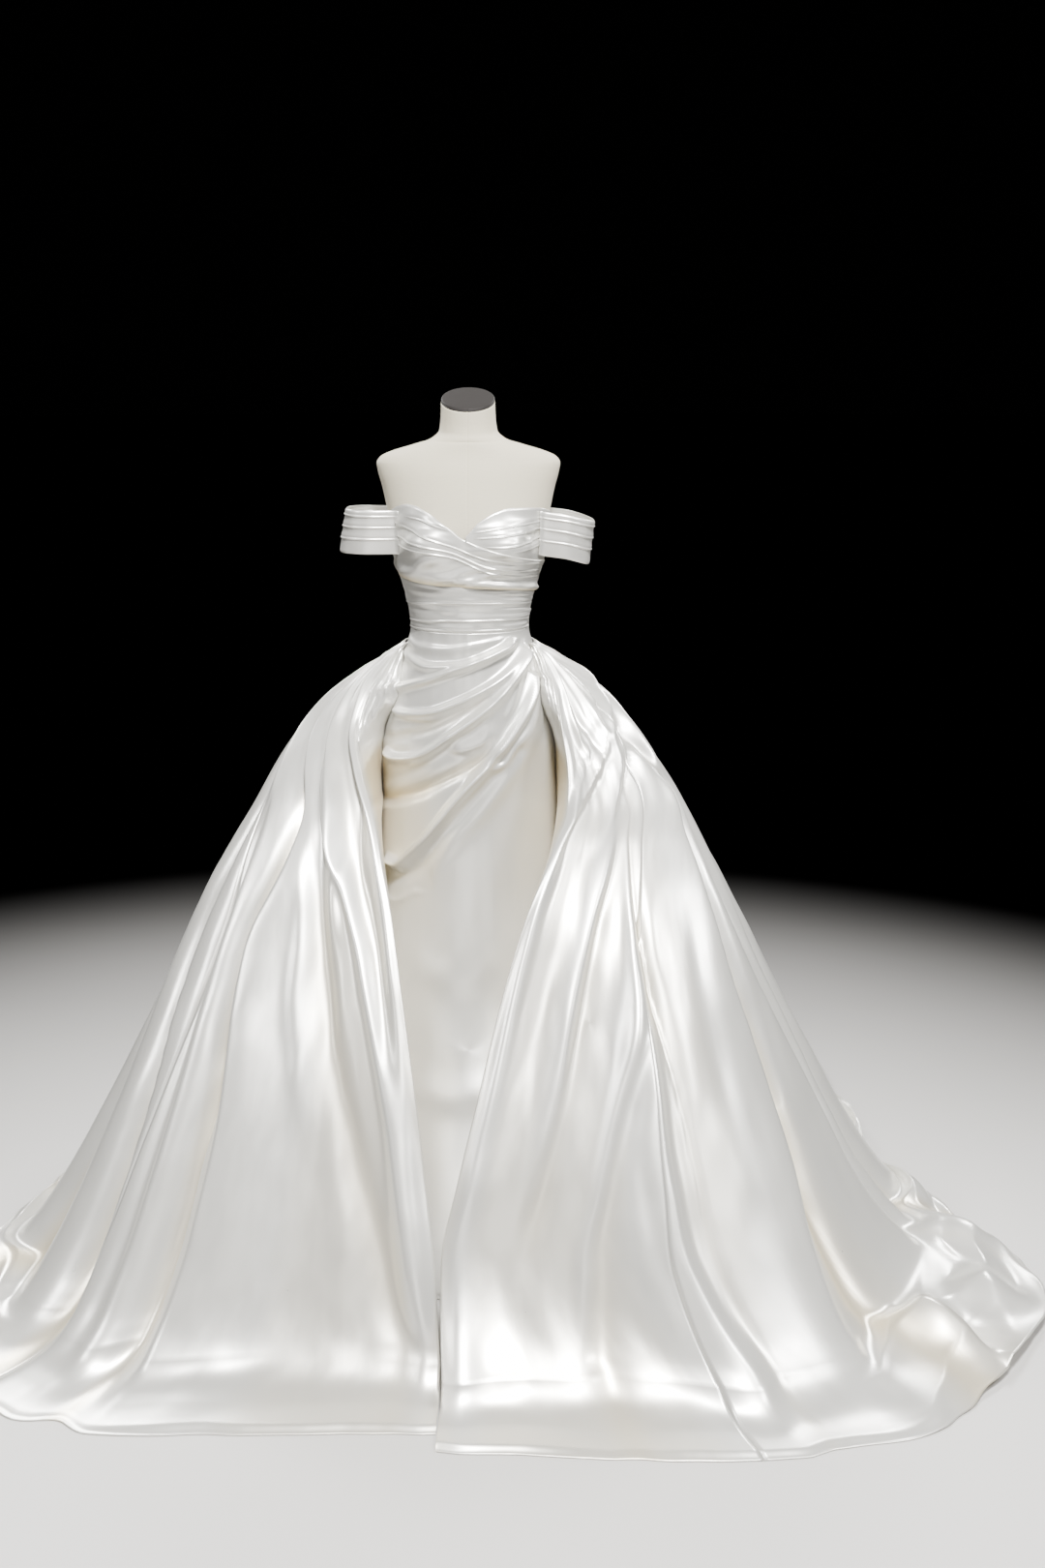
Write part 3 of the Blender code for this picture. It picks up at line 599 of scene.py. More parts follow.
def smooth(xs, ys, at):
    """Cubic curve through the points (xs, ys), level where they turn back, read at any places."""
    steps = np.diff(xs)
    grades = np.diff(ys) / steps
    before, after = grades[:-1], grades[1:]
    product = before * after
    total = np.where(product > 0, before + after, 1.0)
    inner = np.where(product > 0, 2 * product / total, 0.0)
    slopes = np.concatenate([grades[:1], inner, grades[-1:]])
    at = np.clip(at, xs[0], xs[-1])
    i = np.clip(np.searchsorted(xs, at) - 1, 0, len(steps) - 1)
    t = (at - xs[i]) / steps[i]
    start = (1 + 2 * t) * (1 - t) ** 2 * ys[i] + t * (1 - t) ** 2 * steps[i] * slopes[i]
    end = t * t * (3 - 2 * t) * ys[i + 1] + t * t * (t - 1) * steps[i] * slopes[i + 1]
    return start + end


def read(rows, value, at):
    """A table's value column at any places of its first column."""
    return smooth(rows[rows.dtype.names[0]], rows[value], np.asarray(at, float))


def stations(row, letter):
    """The values at a row's five stations, whose columns are the letter and 1 to 5."""
    return np.array([row[letter + str(number)] for number in range(1, 6)])


def polar(radius, angle, height):
    """Points at a radius and an angle from the front, in degrees."""
    turn = np.radians(angle)
    return np.stack(np.broadcast_arrays(radius * np.sin(turn), -radius * np.cos(turn), height), axis=-1)


def arc(angle):
    """The length round the torso of an angle in degrees."""
    return angle * np.pi / 180 * TORSO_RADIUS


def ease(value):
    """0 below 0, 1 above 1, and a smooth step between."""
    value = np.clip(value, 0, 1)
    return value * value * (3 - 2 * value)


def bell(offset, width, lean=0.0):
    """A soft ridge, exp of minus the squared offset, wider on one side by lean."""
    reach = width * np.where(offset > 0, 1 + lean, 1 - lean)
    return np.exp(-((offset / reach) ** 2))


def ripple(name, across, along):
    """Named wrinkles: seeded values on a grid of cells, blended by smooth steps, times their height."""
    rise, cells_across, cells_along, seed = RIPPLES[name]
    values = np.random.default_rng(seed).uniform(-1, 1, (cells_along + 2, cells_across + 2))
    x = np.clip(across, 0, 1) * cells_across
    y = np.clip(along, 0, 1) * cells_along
    column, row = np.floor(x).astype(int), np.floor(y).astype(int)
    right, down = ease(x - column), ease(y - row)
    upper = values[row, column] * (1 - right) + values[row, column + 1] * right
    lower = values[row + 1, column] * (1 - right) + values[row + 1, column + 1] * right
    return rise * (upper * (1 - down) + lower * down)


def crumple(across, along, count, seed):
    """Creased cloth from 0 to 1: the distance to the nearest seeded point, so ridges net the points in."""
    places = np.random.default_rng(seed).uniform(0, 1, (count, 2))
    nearest = np.full(np.shape(across), 9.0)
    for x, y in places:
        nearest = np.minimum(nearest, np.hypot(across - x, along - y))
    return np.clip(nearest * np.sqrt(count), 0, 1.4) / 1.4


def figure_radius(angle, height, cup_share=1.0):
    """Radius of the figure: an ellipse with unlike front and back halves, and two cups in front."""
    angle, height = np.broadcast_arrays(np.asarray(angle, float), np.asarray(height, float))
    turn = np.radians(angle)
    front = read(FIGURE, "front", height)
    depth = np.where(np.cos(turn) > 0, front, read(FIGURE, "back", height))
    half = read(FIGURE, "half_width", height)
    ellipse = 1.0 / np.sqrt((np.sin(turn) / half) ** 2 + (np.cos(turn) / depth) ** 2)
    rise = np.exp(-(((height - BUST_HEIGHT) / BUST_TALL) ** 2))
    cups = sum(np.exp(-(((angle - side * BUST_ANGLE) / BUST_SPREAD) ** 2)) for side in (-1, 1))
    return ellipse + BUST_RISE * cup_share * rise * cups


def lengths(points):
    """A UV map in metres: the mean run along the columns and down the rows of a grid."""
    along = np.linalg.norm(np.diff(points, axis=1), axis=-1).mean(axis=0)
    down = np.linalg.norm(np.diff(points, axis=0), axis=-1).mean(axis=1)
    u = np.concatenate([[0.0], np.cumsum(along)])
    v = np.concatenate([[0.0], np.cumsum(down)])
    return np.stack(np.broadcast_arrays(u[None, :], -v[:, None]), axis=-1)


def mesh_object(name, points, faces):
    """A smooth-shaded object from points and faces, linked into the scene."""
    mesh = bpy.data.meshes.new(name)
    mesh.from_pydata(points.tolist(), [], faces)
    mesh.shade_smooth()
    piece = bpy.data.objects.new(name, mesh)
    bpy.context.scene.collection.objects.link(piece)
    return piece


def corners_of(grid):
    """The four corners of each cell of a grid, anticlockwise as seen from outside."""
    return np.stack([grid[:-1, :-1], grid[1:, :-1], grid[1:, 1:], grid[:-1, 1:]], axis=2)


def cloth_object(name, points, painted_shade):
    """A sheet from a grid of points: rows run down and columns to the right, seen from outside.

    The painted shade is a number for each point, from 0 on a ridge to 1 in a trough, kept as an
    attribute for the material, which mixes a warm painted shade into the satin by it.
    """
    rows, columns = points.shape[:2]
    cells = corners_of(np.arange(rows * columns).reshape(rows, columns))
    piece = mesh_object(name, points.reshape(-1, 3), cells.reshape(-1, 4).tolist())
    layer = piece.data.uv_layers.new(name="cloth")
    layer.data.foreach_set("uv", corners_of(lengths(points)).astype(np.float32).ravel())
    marks = piece.data.attributes.new("painted_shade", "FLOAT", "POINT")
    depth = np.broadcast_to(np.clip(painted_shade, 0, 1), (rows, columns))
    marks.data.foreach_set("value", depth.astype(np.float32).ravel())
    return piece


def ring_object(name, points):
    """A closed object from rings of points, top ring first, with a fan to the middle of each end."""
    rows, columns = points.shape[:2]
    cell = np.arange(rows * columns).reshape(rows, columns)
    cell = np.concatenate([cell, cell[:, :1]], axis=1)
    centre = np.full(columns, rows * columns)
    top = np.stack([centre, cell[0, :-1], cell[0, 1:]], axis=1)
    bottom = np.stack([centre + 1, cell[-1, 1:], cell[-1, :-1]], axis=1)
    quads = corners_of(cell).reshape(-1, 4)
    ends = [points[:1].mean(axis=1), points[-1:].mean(axis=1)]
    return mesh_object(name, np.concatenate([points.reshape(-1, 3), *ends]),
                       quads.tolist() + top.tolist() + bottom.tolist())


def settle(piece, material, node):
    """Give a piece its finish and slot, let it ride on the part and stand for its CAD node."""
    piece.data.materials.append(material)
    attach(piece, "root")
    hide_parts(node)


def add_cloth(name, node, points, painted_shade, sizes, finish):
    """A cloth piece: a shell thickened inwards from its outer side, with its cut and what it rests on."""
    piece = cloth_object(name, points, painted_shade)
    wall = piece.modifiers.new("wall", "SOLIDIFY")
    wall.thickness = sizes.cloth_thickness
    wall.offset = -1.0
    wall.use_rim = True
    settle(piece, finish, node)


# Materials


def new_material(name):
    """A node material, its node tree and its Principled shader."""
    material = bpy.data.materials.new(name)
    material.use_nodes = True
    return material, material.node_tree, material.node_tree.nodes["Principled BSDF"]


def set_inputs(tree, node, inputs):
    """Set a node's inputs: a socket is linked, anything else is the input's own value."""
    for key, value in inputs.items():
        if isinstance(value, bpy.types.NodeSocket):
            tree.links.new(value, node.inputs[key])
        else:
            node.inputs[key].default_value = value


def add_node(tree, kind, output, inputs=None, **settings):
    """Add a shader node with its settings and inputs, and give one of its outputs."""
    node = tree.nodes.new("ShaderNode" + kind)
    for name, value in settings.items():
        setattr(node, name, value)
    set_inputs(tree, node, inputs or {})
    return node.outputs[output]


def add_bump(tree, height, strength, distance, before=None):
    """A normal from a height socket, on top of an earlier normal if there is one."""
    inputs = {"Height": height, "Strength": strength, "Distance": distance}
    if before is not None:
        inputs["Normal"] = before
    return add_node(tree, "Bump", "Normal", inputs)


def add_noise(tree, places, scale, detail):
    """Noise over places, stretched by unlike scales."""
    spot = add_node(tree, "Mapping", "Vector", {"Vector": places, "Scale": scale})
    return add_node(tree, "TexNoise", "Fac", {"Vector": spot, "Scale": 1.0, "Detail": detail})


def add_spread(tree, value, low, high):
    """A value from 0 to 1 spread between low and high."""
    return add_node(tree, "MapRange", "Result", {"Value": value, "To Min": low, "To Max": high})


def add_tint(tree, factor, first, second):
    """A colour between two, by a factor from 0 to 1."""
    inputs = {"Factor": factor, "A": (*first, 1), "B": (*second, 1)}
    return add_node(tree, "Mix", "Result", inputs, data_type="RGBA")


def satin_material(name, colours):
    """Heavy ivory satin: with painted warm shade in its troughs, slubs, fine threads and a soft sheen."""
    material, tree, shader = new_material(name)
    places = add_node(tree, "UVMap", "UV", uv_map="cloth")
    painted_shade = add_node(tree, "Attribute", "Fac", attribute_name="painted_shade")
    # Mix the satin's colour towards its warm painted shade where the attribute marks troughs and shaded parts
    tint = add_tint(tree, painted_shade, colours.satin, colours.satin_hollow)
    tone = add_spread(tree, add_noise(tree, places, *SATIN_TONE), *SATIN_TONES)
    threads = add_noise(tree, places, *SATIN_THREADS)
    slubs = add_noise(tree, places, *SATIN_SLUBS)
    relief = add_bump(tree, slubs, *SLUB_RELIEF)
    set_inputs(tree, shader, {
        "Base Color": add_node(tree, "VectorMath", "Vector", {0: tint, "Scale": tone}, operation="SCALE"),
        "Roughness": add_spread(tree, slubs, *SATIN_ROUGHNESS),
        "Normal": add_bump(tree, threads, *THREAD_RELIEF, relief),
        **SATIN_LOOK,
    })
    return material


def linen_material(colours):
    """Close plain linen: crossed threads with small slubs, matt."""
    material, tree, shader = new_material("form_linen")
    places = add_node(tree, "TexCoord", "Object")
    warp = add_noise(tree, places, LINEN_WARP, 2.0)
    weft = add_noise(tree, places, LINEN_WEFT, 2.0)
    both = add_node(tree, "Math", 0, {0: warp, 1: weft}, operation="ADD")
    half = add_node(tree, "Math", 0, {0: both, 1: 0.5}, operation="MULTIPLY")
    dim = [LINEN_TONES[0] * part for part in colours.linen]
    bright = [min(1.0, LINEN_TONES[1] * part) for part in colours.linen]
    set_inputs(tree, shader, {
        "Base Color": add_tint(tree, half, dim, bright),
        "Normal": add_bump(tree, both, *LINEN_RELIEF),
        **LINEN_LOOK,
    })
    return material


def hard_material(name, colour, rough, metallic, scale, gloss=0.5):
    """A hard finish: its roughness and a slight relief vary with fine noise."""
    material, tree, shader = new_material(name)
    noise = add_noise(tree, add_node(tree, "TexCoord", "Object"), scale, 4.0)
    set_inputs(tree, shader, {
        "Base Color": (*colour, 1),
        "Metallic": metallic,
        "Specular IOR Level": gloss,
        "Roughness": add_spread(tree, noise, rough - HARD_SPREAD[0], rough + HARD_SPREAD[1]),
        "Normal": add_bump(tree, noise, *HARD_RELIEF),
    })
    return material


# The form and its stand


def neck_plane(height, points):
    """Lean the neck's upper sections towards the tilted top."""
    lean = np.clip((height - NECK_LEAN_START) / (NECK_TOP - NECK_LEAN_START), 0, 1)
    points[..., 2] += lean * NECK_TILT * (points[..., 1] - NECK_CENTRE)
    return points


def form_rings():
    """The form's outer points: the figure's radius, less shallow grooves along its seams."""
    angles = [np.arange(-180, 180, FORM_COLUMN), SEAM_COLUMNS, SEAM_COLUMNS + 90, SEAM_COLUMNS - 90]
    body = np.linspace(FORM_BOTTOM, SHOULDER, FORM_ROWS)
    neck = np.linspace(SHOULDER + 0.006, NECK_TOP, FORM_ROWS)
    heights = np.unique(np.round(np.concatenate([body, neck, NECK_SEAM + SEAM_ROWS]), 4))[::-1]
    height, angle = np.meshgrid(heights, np.unique(np.concatenate(angles)), indexing="ij")
    radius = figure_radius(angle, height, FORM_CUPS)
    for seam in (-90, 0, 90):
        radius = radius - SEAM_GROOVE[0] * bell(arc(angle - seam), SEAM_GROOVE[1])
    radius = radius - NECK_GROOVE[0] * bell(height - NECK_SEAM, NECK_GROOVE[1])
    radius = radius - SLIM_DEPTH * ease((SLIM_TOP - height) / 0.03)
    return neck_plane(height, polar(radius, angle, height))


def make_form_pieces(colours):
    """The linen torso, its dark neck cap, and the steel stand."""
    points = form_rings()
    settle(ring_object("linen_torso", points), linen_material(colours), "form_torso")

    edge = points[0] + np.array([0.0, 0.0, CAP_GAP])
    centre = edge.mean(axis=0)
    middle, inner, rise, reach = CAP_SHOULDER
    turns = np.linspace(0, np.pi / 2, 9)
    shoulder = [(middle + rise * np.sin(turn), inner + reach * np.cos(turn)) for turn in turns]
    profile = CAP_FOOT + shoulder + CAP_TOP
    rings = [centre + (edge - centre) * out + [0, 0, CAP_HEIGHT * up] for up, out in profile[::-1]]
    stained = hard_material("dark_cap", colours.cap, *CAP_LOOK, gloss=CAP_GLOSS)
    settle(ring_object("neck_cap", np.stack(rings)), stained, "form_neck_cap")

    top = BASE_HEIGHT - BASE_ROUND
    profile = [(BASE_RADIUS, 0.0), (BASE_RADIUS, BASE_EDGE)]
    for turn in np.linspace(0, np.pi / 2, 7):
        profile.append((BASE_RADIUS - BASE_ROUND * (1 - np.cos(turn)), top + BASE_ROUND * np.sin(turn)))
    profile += [(radius, BASE_HEIGHT + up) for radius, up in COLLAR]
    profile.append((POLE_RADIUS, FORM_BOTTOM - POLE_GAP))
    angles = np.arange(-180, 180, 5.0)
    stand_points = np.stack([polar(radius, angles, height) for radius, height in profile[::-1]])
    steel = hard_material("brushed_steel", colours.steel, *STEEL_LOOK)
    settle(ring_object("steel_stand", stand_points), steel, "form_stand")


# The bodice


def tuck(offset, rise):
    """A pin tuck across its line: a narrow ridge, and above it the swell of the cloth between tucks."""
    return rise * bell(offset, TUCK_WIDTH, TUCK_LEAN) + TUCK_SWELL * bell(offset - SWELL_WIDTH, SWELL_WIDTH)


def tuck_relief(rows, angle, height):
    """How far pin tucks stand out along their lines, each fading at its two ends."""
    relief = np.zeros_like(height)
    for row in rows:
        line = smooth(TUCK_ANGLES, stations(row, "h"), angle)
        slope = smooth(TUCK_ANGLES, stations(row, "h"), angle + 1.0) - line
        steep = np.hypot(1.0, slope / (HIP_RADIUS * np.pi / 180))
        fade = ease((angle - row["from_angle"]) / TUCK_FADE) * ease((row["to_angle"] - angle) / TUCK_FADE)
        relief = relief + fade * tuck((height - line) / steep, row["rise"])
    return relief


def bodice_grid(name, angles, lower, upper):
    """A bodice piece's shares up it, from its top row down, angles, heights and radii without relief."""
    share, angle = np.meshgrid(np.linspace(1, 0, GRIDS[name][1]), angles, indexing="ij")
    height = lower + (upper - lower) * share
    return share, angle, height, figure_radius(angle, height) + CLOTH_GAP + WALL


def edge_round(name, share):
    """How far a piece's turned edges fall back at its top and bottom."""
    reach, depth = TURNED_EDGES[name]
    top = np.clip((share - (1 - reach)) / reach, 0, 1) ** 2
    bottom = np.clip((reach - share) / reach, 0, 1) ** 2
    return -depth * (top + bottom)


def left_drape():
    """Tucks that calm down towards the side seams, slanting wrinkles and a rolled lower edge.

    To the right of the neckline's middle the drape stands proud of the right cup that it crosses.
    """
    angles = np.linspace(-SIDE_SEAM, SIDE_SEAM, GRIDS["left_drape"][0])
    neckline = read(NECKLINE, "height", angles)
    crossing = np.minimum(read(CROSSING, "height", angles), neckline)
    top = np.where(angles < CROSSING_START, neckline, crossing)
    edge = read(DRAPE_EDGE, "height", angles)
    share, angle, height, radius = bodice_grid("left_drape", angles, edge, top)
    calm = 1 - CALM_SHARE * ease((np.abs(angle) - CALM_ANGLE) / 20)
    radius = radius + calm * tuck_relief(LEFT_TUCKS, angle, height) + edge_round("left_drape", share)
    radius = radius + CROSSING_RISE * ease((angle - CROSSING_START) / 14) * bell(share - 1.0, 0.16)
    uneven = 0.7 + ripple("roll", angle / 200 + 0.5, share)
    radius = radius + ROLL_RISE * bell(share - ROLL_SHARE, ROLL_WIDTH) * uneven
    slanted = angle / 240 + 0.5 - 0.35 * (share - 0.5)
    radius = radius + ripple("left_drape", slanted, share) * (1 - 0.5 * ease((angle - 10) / 40))
    # A shadow is painted along the rolled lower edge, strongest at the edge
    return polar(radius, angle, height), bell(share, ROLL_SHADOW)


def midriff():
    """Level tucks, and wrinkles that pull towards the right side seam; the top slips under the drape."""
    angles = np.linspace(-SIDE_SEAM, SIDE_SEAM, GRIDS["midriff"][0])
    edge = read(DRAPE_EDGE, "height", angles) + MIDRIFF_OVERLAP
    share, angle, height, radius = bodice_grid("midriff", angles, WAIST_SEAM, edge)
    radius = radius - MIDRIFF_SINK + tuck_relief(MIDRIFF_TUCKS, angle, height)
    radius = radius + ease((angle - 20) / 60) * ripple("midriff_pull", angle / 180 + 0.5, share)
    radius = radius + ripple("midriff", angle / 180 + 0.5, share) - 0.0024 * ease((share - 0.90) / 0.10)
    return polar(radius, angle, height), 0.0


def right_drape():
    """Tucks that rise to the right, and the knot of small folds near the sleeve."""
    angles = np.linspace(-2.0, SIDE_SEAM, GRIDS["right_drape"][0])
    low = read(CROSSING, "height", angles) - CUP_OVERLAP
    high = read(NECKLINE, "height", angles)
    share, angle, height, radius = bodice_grid("right_drape", angles, np.minimum(low, high - 0.004), high)
    radius = radius - CUP_SINK + tuck_relief(RIGHT_TUCKS, angle, height)
    knot = bell(angle - KNOT_ANGLE, 16) * bell(height - KNOT_HEIGHT, 0.020)
    radius = radius + knot * ripple("knot", angle / 90, (height - 1.35) / 0.12)
    radius = radius + edge_round("right_drape", share) * (share > 0.5)
    return polar(radius, angle, height), 0.0


def back_panel(start, end):
    """A plain panel with a shallow groove where the two meet behind."""
    angles = np.linspace(start, end, GRIDS["back_panel"][0])
    top = read(NECKLINE, "height", angles)
    share, angle, height, radius = bodice_grid("back_panel", angles, WAIST_SEAM, top)
    radius = radius + edge_round("back_panel", share) * (share > 0.5)
    centre = arc(180 - np.abs(angle))
    deep, wide = BACK_GROOVE
    radius = radius - deep * bell(centre, wide) + ripple("back_panel", np.abs(angle) / 180, share)
    return polar(radius, angle, height), 0.0


def make_bodice_pieces(sizes, colours):
    """Three pleated pieces in front and two plain ones behind."""
    finish = satin_material("bodice_satin", colours)
    add_cloth("left_drape", "bodice_left_drape", *left_drape(), sizes, finish)
    add_cloth("midriff", "bodice_midriff", *midriff(), sizes, finish)
    add_cloth("right_drape", "bodice_right_drape", *right_drape(), sizes, finish)
    for side, start, end in (("left", -180.0, -SIDE_SEAM), ("right", SIDE_SEAM, 180.0)):
        add_cloth("back_panel_" + side, "bodice_back_" + side, *back_panel(start, end), sizes, finish)


def make_sleeve_pieces(sizes, colours):
    """Two open tucked bands from the bodice's front round the arm's place to its back."""
    finish = satin_material("sleeve_satin", colours)
    columns, rows = GRIDS["sleeve"]
    share, part = np.meshgrid(np.linspace(1, 0, rows), np.linspace(0, 1, columns), indexing="ij")
    out = np.sin(np.pi * part)
    back = np.cos(np.pi * part)
    tall = SLEEVE_TOP - SLEEVE_BOTTOM
    for row in SLEEVES:
        side = row["side"]
        name = "left" if side < 0 else "right"
        reach = row["reach_bottom"] + (row["reach_top"] - row["reach_bottom"]) * share
        height = SLEEVE_BOTTOM + tall * share - row["droop"] * out ** 0.8
        across = SLEEVE_ROOT + (reach - SLEEVE_ROOT) * np.abs(out) ** 0.55
        deep = -SLEEVE_HALF_DEPTH * np.sign(back) * np.abs(back) ** 0.7
        base = np.stack([side * across, deep, height], axis=-1)
        normals = np.cross(np.gradient(base, axis=0), np.gradient(base, axis=1)) * side
        normals /= np.linalg.norm(normals, axis=-1, keepdims=True)
        relief = ripple("sleeve_" + name, part, share) + edge_round("sleeve", share)
        for line in SLEEVE_TUCKS:
            bend = 0.012 * np.sin(3 * part + 5 * line)
            relief += tuck((share - line - bend) * tall, SLEEVE_TUCK_RISE)
        points = base + normals * relief[..., None]
        angle = np.degrees(np.arctan2(points[..., 0], -points[..., 1]))
        seat = polar(figure_radius(angle, height) + CLOTH_GAP + WALL + row["stand_off"], angle, height)
        ends = np.clip(bell(part, 0.05) + bell(part - 1, 0.05), 0, 1)
        points = points + (seat - points) * ends[..., None]
        if side < 0:
            points = points[:, ::-1]
        add_cloth("sleeve_band_" + name, "sleeve_" + name, points, 0.0, sizes, finish)


# The sheath


def hip_folds(angle, height):
    """The sheath's folds along smooth lines: each rises steeply from above and falls away gently below."""
    total = np.zeros(np.broadcast(angle, height).shape)
    for angles, heights, above, below, rise, nose in HIP_FOLDS:
        at, lines = np.array(angles), np.array(heights)
        line = smooth(at, lines, angle)
        slope = smooth(at, lines, angle + 1.0) - smooth(at, lines, angle - 1.0)
        offset = (height - line) / np.hypot(1.0, slope / (2 * HIP_RADIUS * np.pi / 180))
        fade = ease((angle - at[0] + 0.4 * nose) / nose) * ease((at[-1] + 14 - angle) / 22)
        total = total + rise * fade * bell(offset, np.where(offset > 0, above, below))
    return total


def make_sheath_pieces(sizes, colours):
    """The narrow skirt: a draped front and a plain back, from the waist seam to the floor."""
    finish = satin_material("sheath_satin", colours)
    for name, start, end in (("front", -SIDE_SEAM, SIDE_SEAM), ("back", SIDE_SEAM, 360 - SIDE_SEAM)):
        columns, rows = GRIDS["sheath_" + name]
        heights = [np.linspace(WAIST_SEAM, HIP_END, rows)[:-1], np.linspace(HIP_END, SHEATH_HEM, rows // 4)]
        angles = np.linspace(start, end, columns)
        height, angle = np.meshgrid(np.concatenate(heights), angles, indexing="ij")
        turn = np.where(angle > 180, angle - 360, angle)
        radius = figure_radius(turn, height) + CLOTH_GAP + WALL
        painted_shade = 0.0
        if name == "front":
            folds = hip_folds(turn, height)
            across, along = (turn + 90) / 180, height / 1.3
            radius = radius + folds * ease((WAIST_SEAM - height) / 0.016)
            set_in = ease((LOW_RIPPLES[0] - height) / LOW_RIPPLES[1])
            radius = radius + set_in * ripple("sheath_low", across, along)
            radius = radius + ripple("sheath", across, along)
            # Painted warm shade in the troughs of the folds and at the sheath's sides, where they turn from
            # the light
            trough = TROUGH_SHADE * np.clip(-folds / SHEATH_TROUGH, 0, 1) * ease((height - 0.68) / 0.1)
            side_shade = ease((np.abs(turn) - SIDE_ANGLE[0]) / SIDE_ANGLE[1])
            side_shade = side_shade * ease((SIDE_TOP[0] - height) / SIDE_TOP[1])
            painted_shade = np.maximum(trough, SIDE_SHADE * side_shade)
        add_cloth("sheath_" + name, "skirt_" + name, polar(radius, angle, height), painted_shade, sizes, finish)


# The overskirt


def overskirt_folds(share, down):
    """Listed ridges and troughs: each follows its own line down the cloth."""
    total = np.zeros_like(share)
    for row in FOLDS:
        centre = smooth(FOLD_STATIONS, stations(row, "s"), down)
        grow = ease((down - row["start"]) / 0.14) * ease((row["end"] - down) / 0.16)
        total = total + row["rise"] * grow * bell(share - centre, row["width"], row["lean"])
    return total


def waist_gathers(share, down):
    """Narrow uneven gathers below the waist seam, each with its own width, depth and length."""
    chance = np.random.default_rng(GATHER_SEED)
    total = np.zeros_like(share)
    for row in CORNER_GATHERS:
        line = row["top"] + (row["low"] - row["top"]) * np.clip(down / row["length"], 0, 1.2)
        fade = ease((1.15 * row["length"] - down) / (0.5 * row["length"]))
        total = total + row["rise"] * fade * bell(share - line, row["width"])
    for place in (np.arange(GATHERS) + 0.5) / GATHERS:
        centre = place + chance.uniform(-0.3, 0.3) / GATHERS
        drift = chance.uniform(*GATHER_DRIFTS)
        width = chance.uniform(*GATHER_WIDTHS)
        rise = chance.uniform(*GATHER_RISES) * (GATHER_SHARES[0] < place < GATHER_SHARES[1])
        length = chance.uniform(*GATHER_LENGTHS)
        line = centre + drift * down
        total = total + rise * bell(share - line, width * (1 + 2.5 * down)) * bell(down - 0.02, length)
    return total


def turned_in(edge, height, inward, side):
    """The cloth beyond a front edge, from the edge by way of a point behind it to the sheath's side.

    inward runs from 0 at the edge to 1. High up the cloth bridges to the sheath in small gathers, at
    the hip it sinks in behind the edge, and further down it is only a narrow hem turned under.
    """
    angle = np.degrees(np.arctan2(edge[..., 0], -edge[..., 1]))
    reach = np.hypot(edge[..., 0], edge[..., 1])
    sway, sway_height, tall = TURN_IN_SWAY
    side_angle = side * (TURN_IN_ANGLE - sway * bell(height - sway_height, tall) - 5 * (side > 0))
    seat = figure_radius(side_angle, height) + CLOTH_GAP + WALL + hip_folds(side_angle, height)
    sheath = polar(seat + TURN_IN_GAP, side_angle, height)
    clear = ease(height / 0.2)
    hem = polar(reach - TURNED_HEM * clear, angle + side * (2.2 * clear - 0.1), height)
    bridge = ease((height - BRIDGE_BOTTOM) / 0.16)[..., None]
    target = sheath * bridge + hem * (1 - bridge)
    sunk = ease((SUNK_TOP - height) / 0.05)[..., None] * bridge
    middle = edge + (target - edge) * (0.5 - 0.25 * sunk)
    middle = middle + np.array([0.0, 1.0, 0.0]) * (SUNK_DEPTH * sunk - BRIDGE_BOW * bridge * (1 - sunk))
    inward = inward[..., None]
    points = (1 - inward) ** 2 * edge + 2 * inward * (1 - inward) * middle + inward ** 2 * target
    high = ease((height - GATHERED_BOTTOM) / 0.04)[..., None]
    run = np.clip((OVERSKIRT_TOP - height) / 0.20, 0, 1.2)[..., None]
    gathers = sum(bell(inward - at * (1 - 0.55 * run), TURN_IN_WIDTH) for at in TURN_IN_GATHERS)
    lift = TURN_IN_LIFT * (gathers - 0.35) * high * ease(inward * 4) * ease((1 - inward) * 4)
    outwards = np.stack([side * 0.45, np.full_like(side, -0.9), np.zeros_like(side)], axis=-1)
    return points + lift * outwards


def heaps(share, lying, along, folds):
    """Height of the cloth heaped on the floor: crests, creases, the hem's waves and folds that run on."""
    crests = np.zeros_like(share)
    for row in CRESTS:
        across = bell(share - row["round"], row["width"])
        crests += row["rise"] * across * bell(lying - row["out"], row["length"])
    heaped = ease((share - HEAPED[0]) / 0.03) * ease((HEAPED[1] - share) / 0.03)
    creases = crumple(share * CREASE_REPEATS % 1.0, lying * 0.55 + 0.2, CREASE_POINTS, CREASE_SEED)
    total = (HEAP_CRESTS * crests + HEAP_CREASES * creases) * ease(lying * 3) * heaped
    wave = 0.5 + ripple("hem", share, lying)
    total = total + HEM_WAVES * wave * ease(along / 0.10) * (1 - ease((lying - 0.85) / 0.15))
    return total + HEAP_FOLDS * np.clip(folds, 0, 1) * ease(along / 0.14) * (1 - lying) ** 1.5


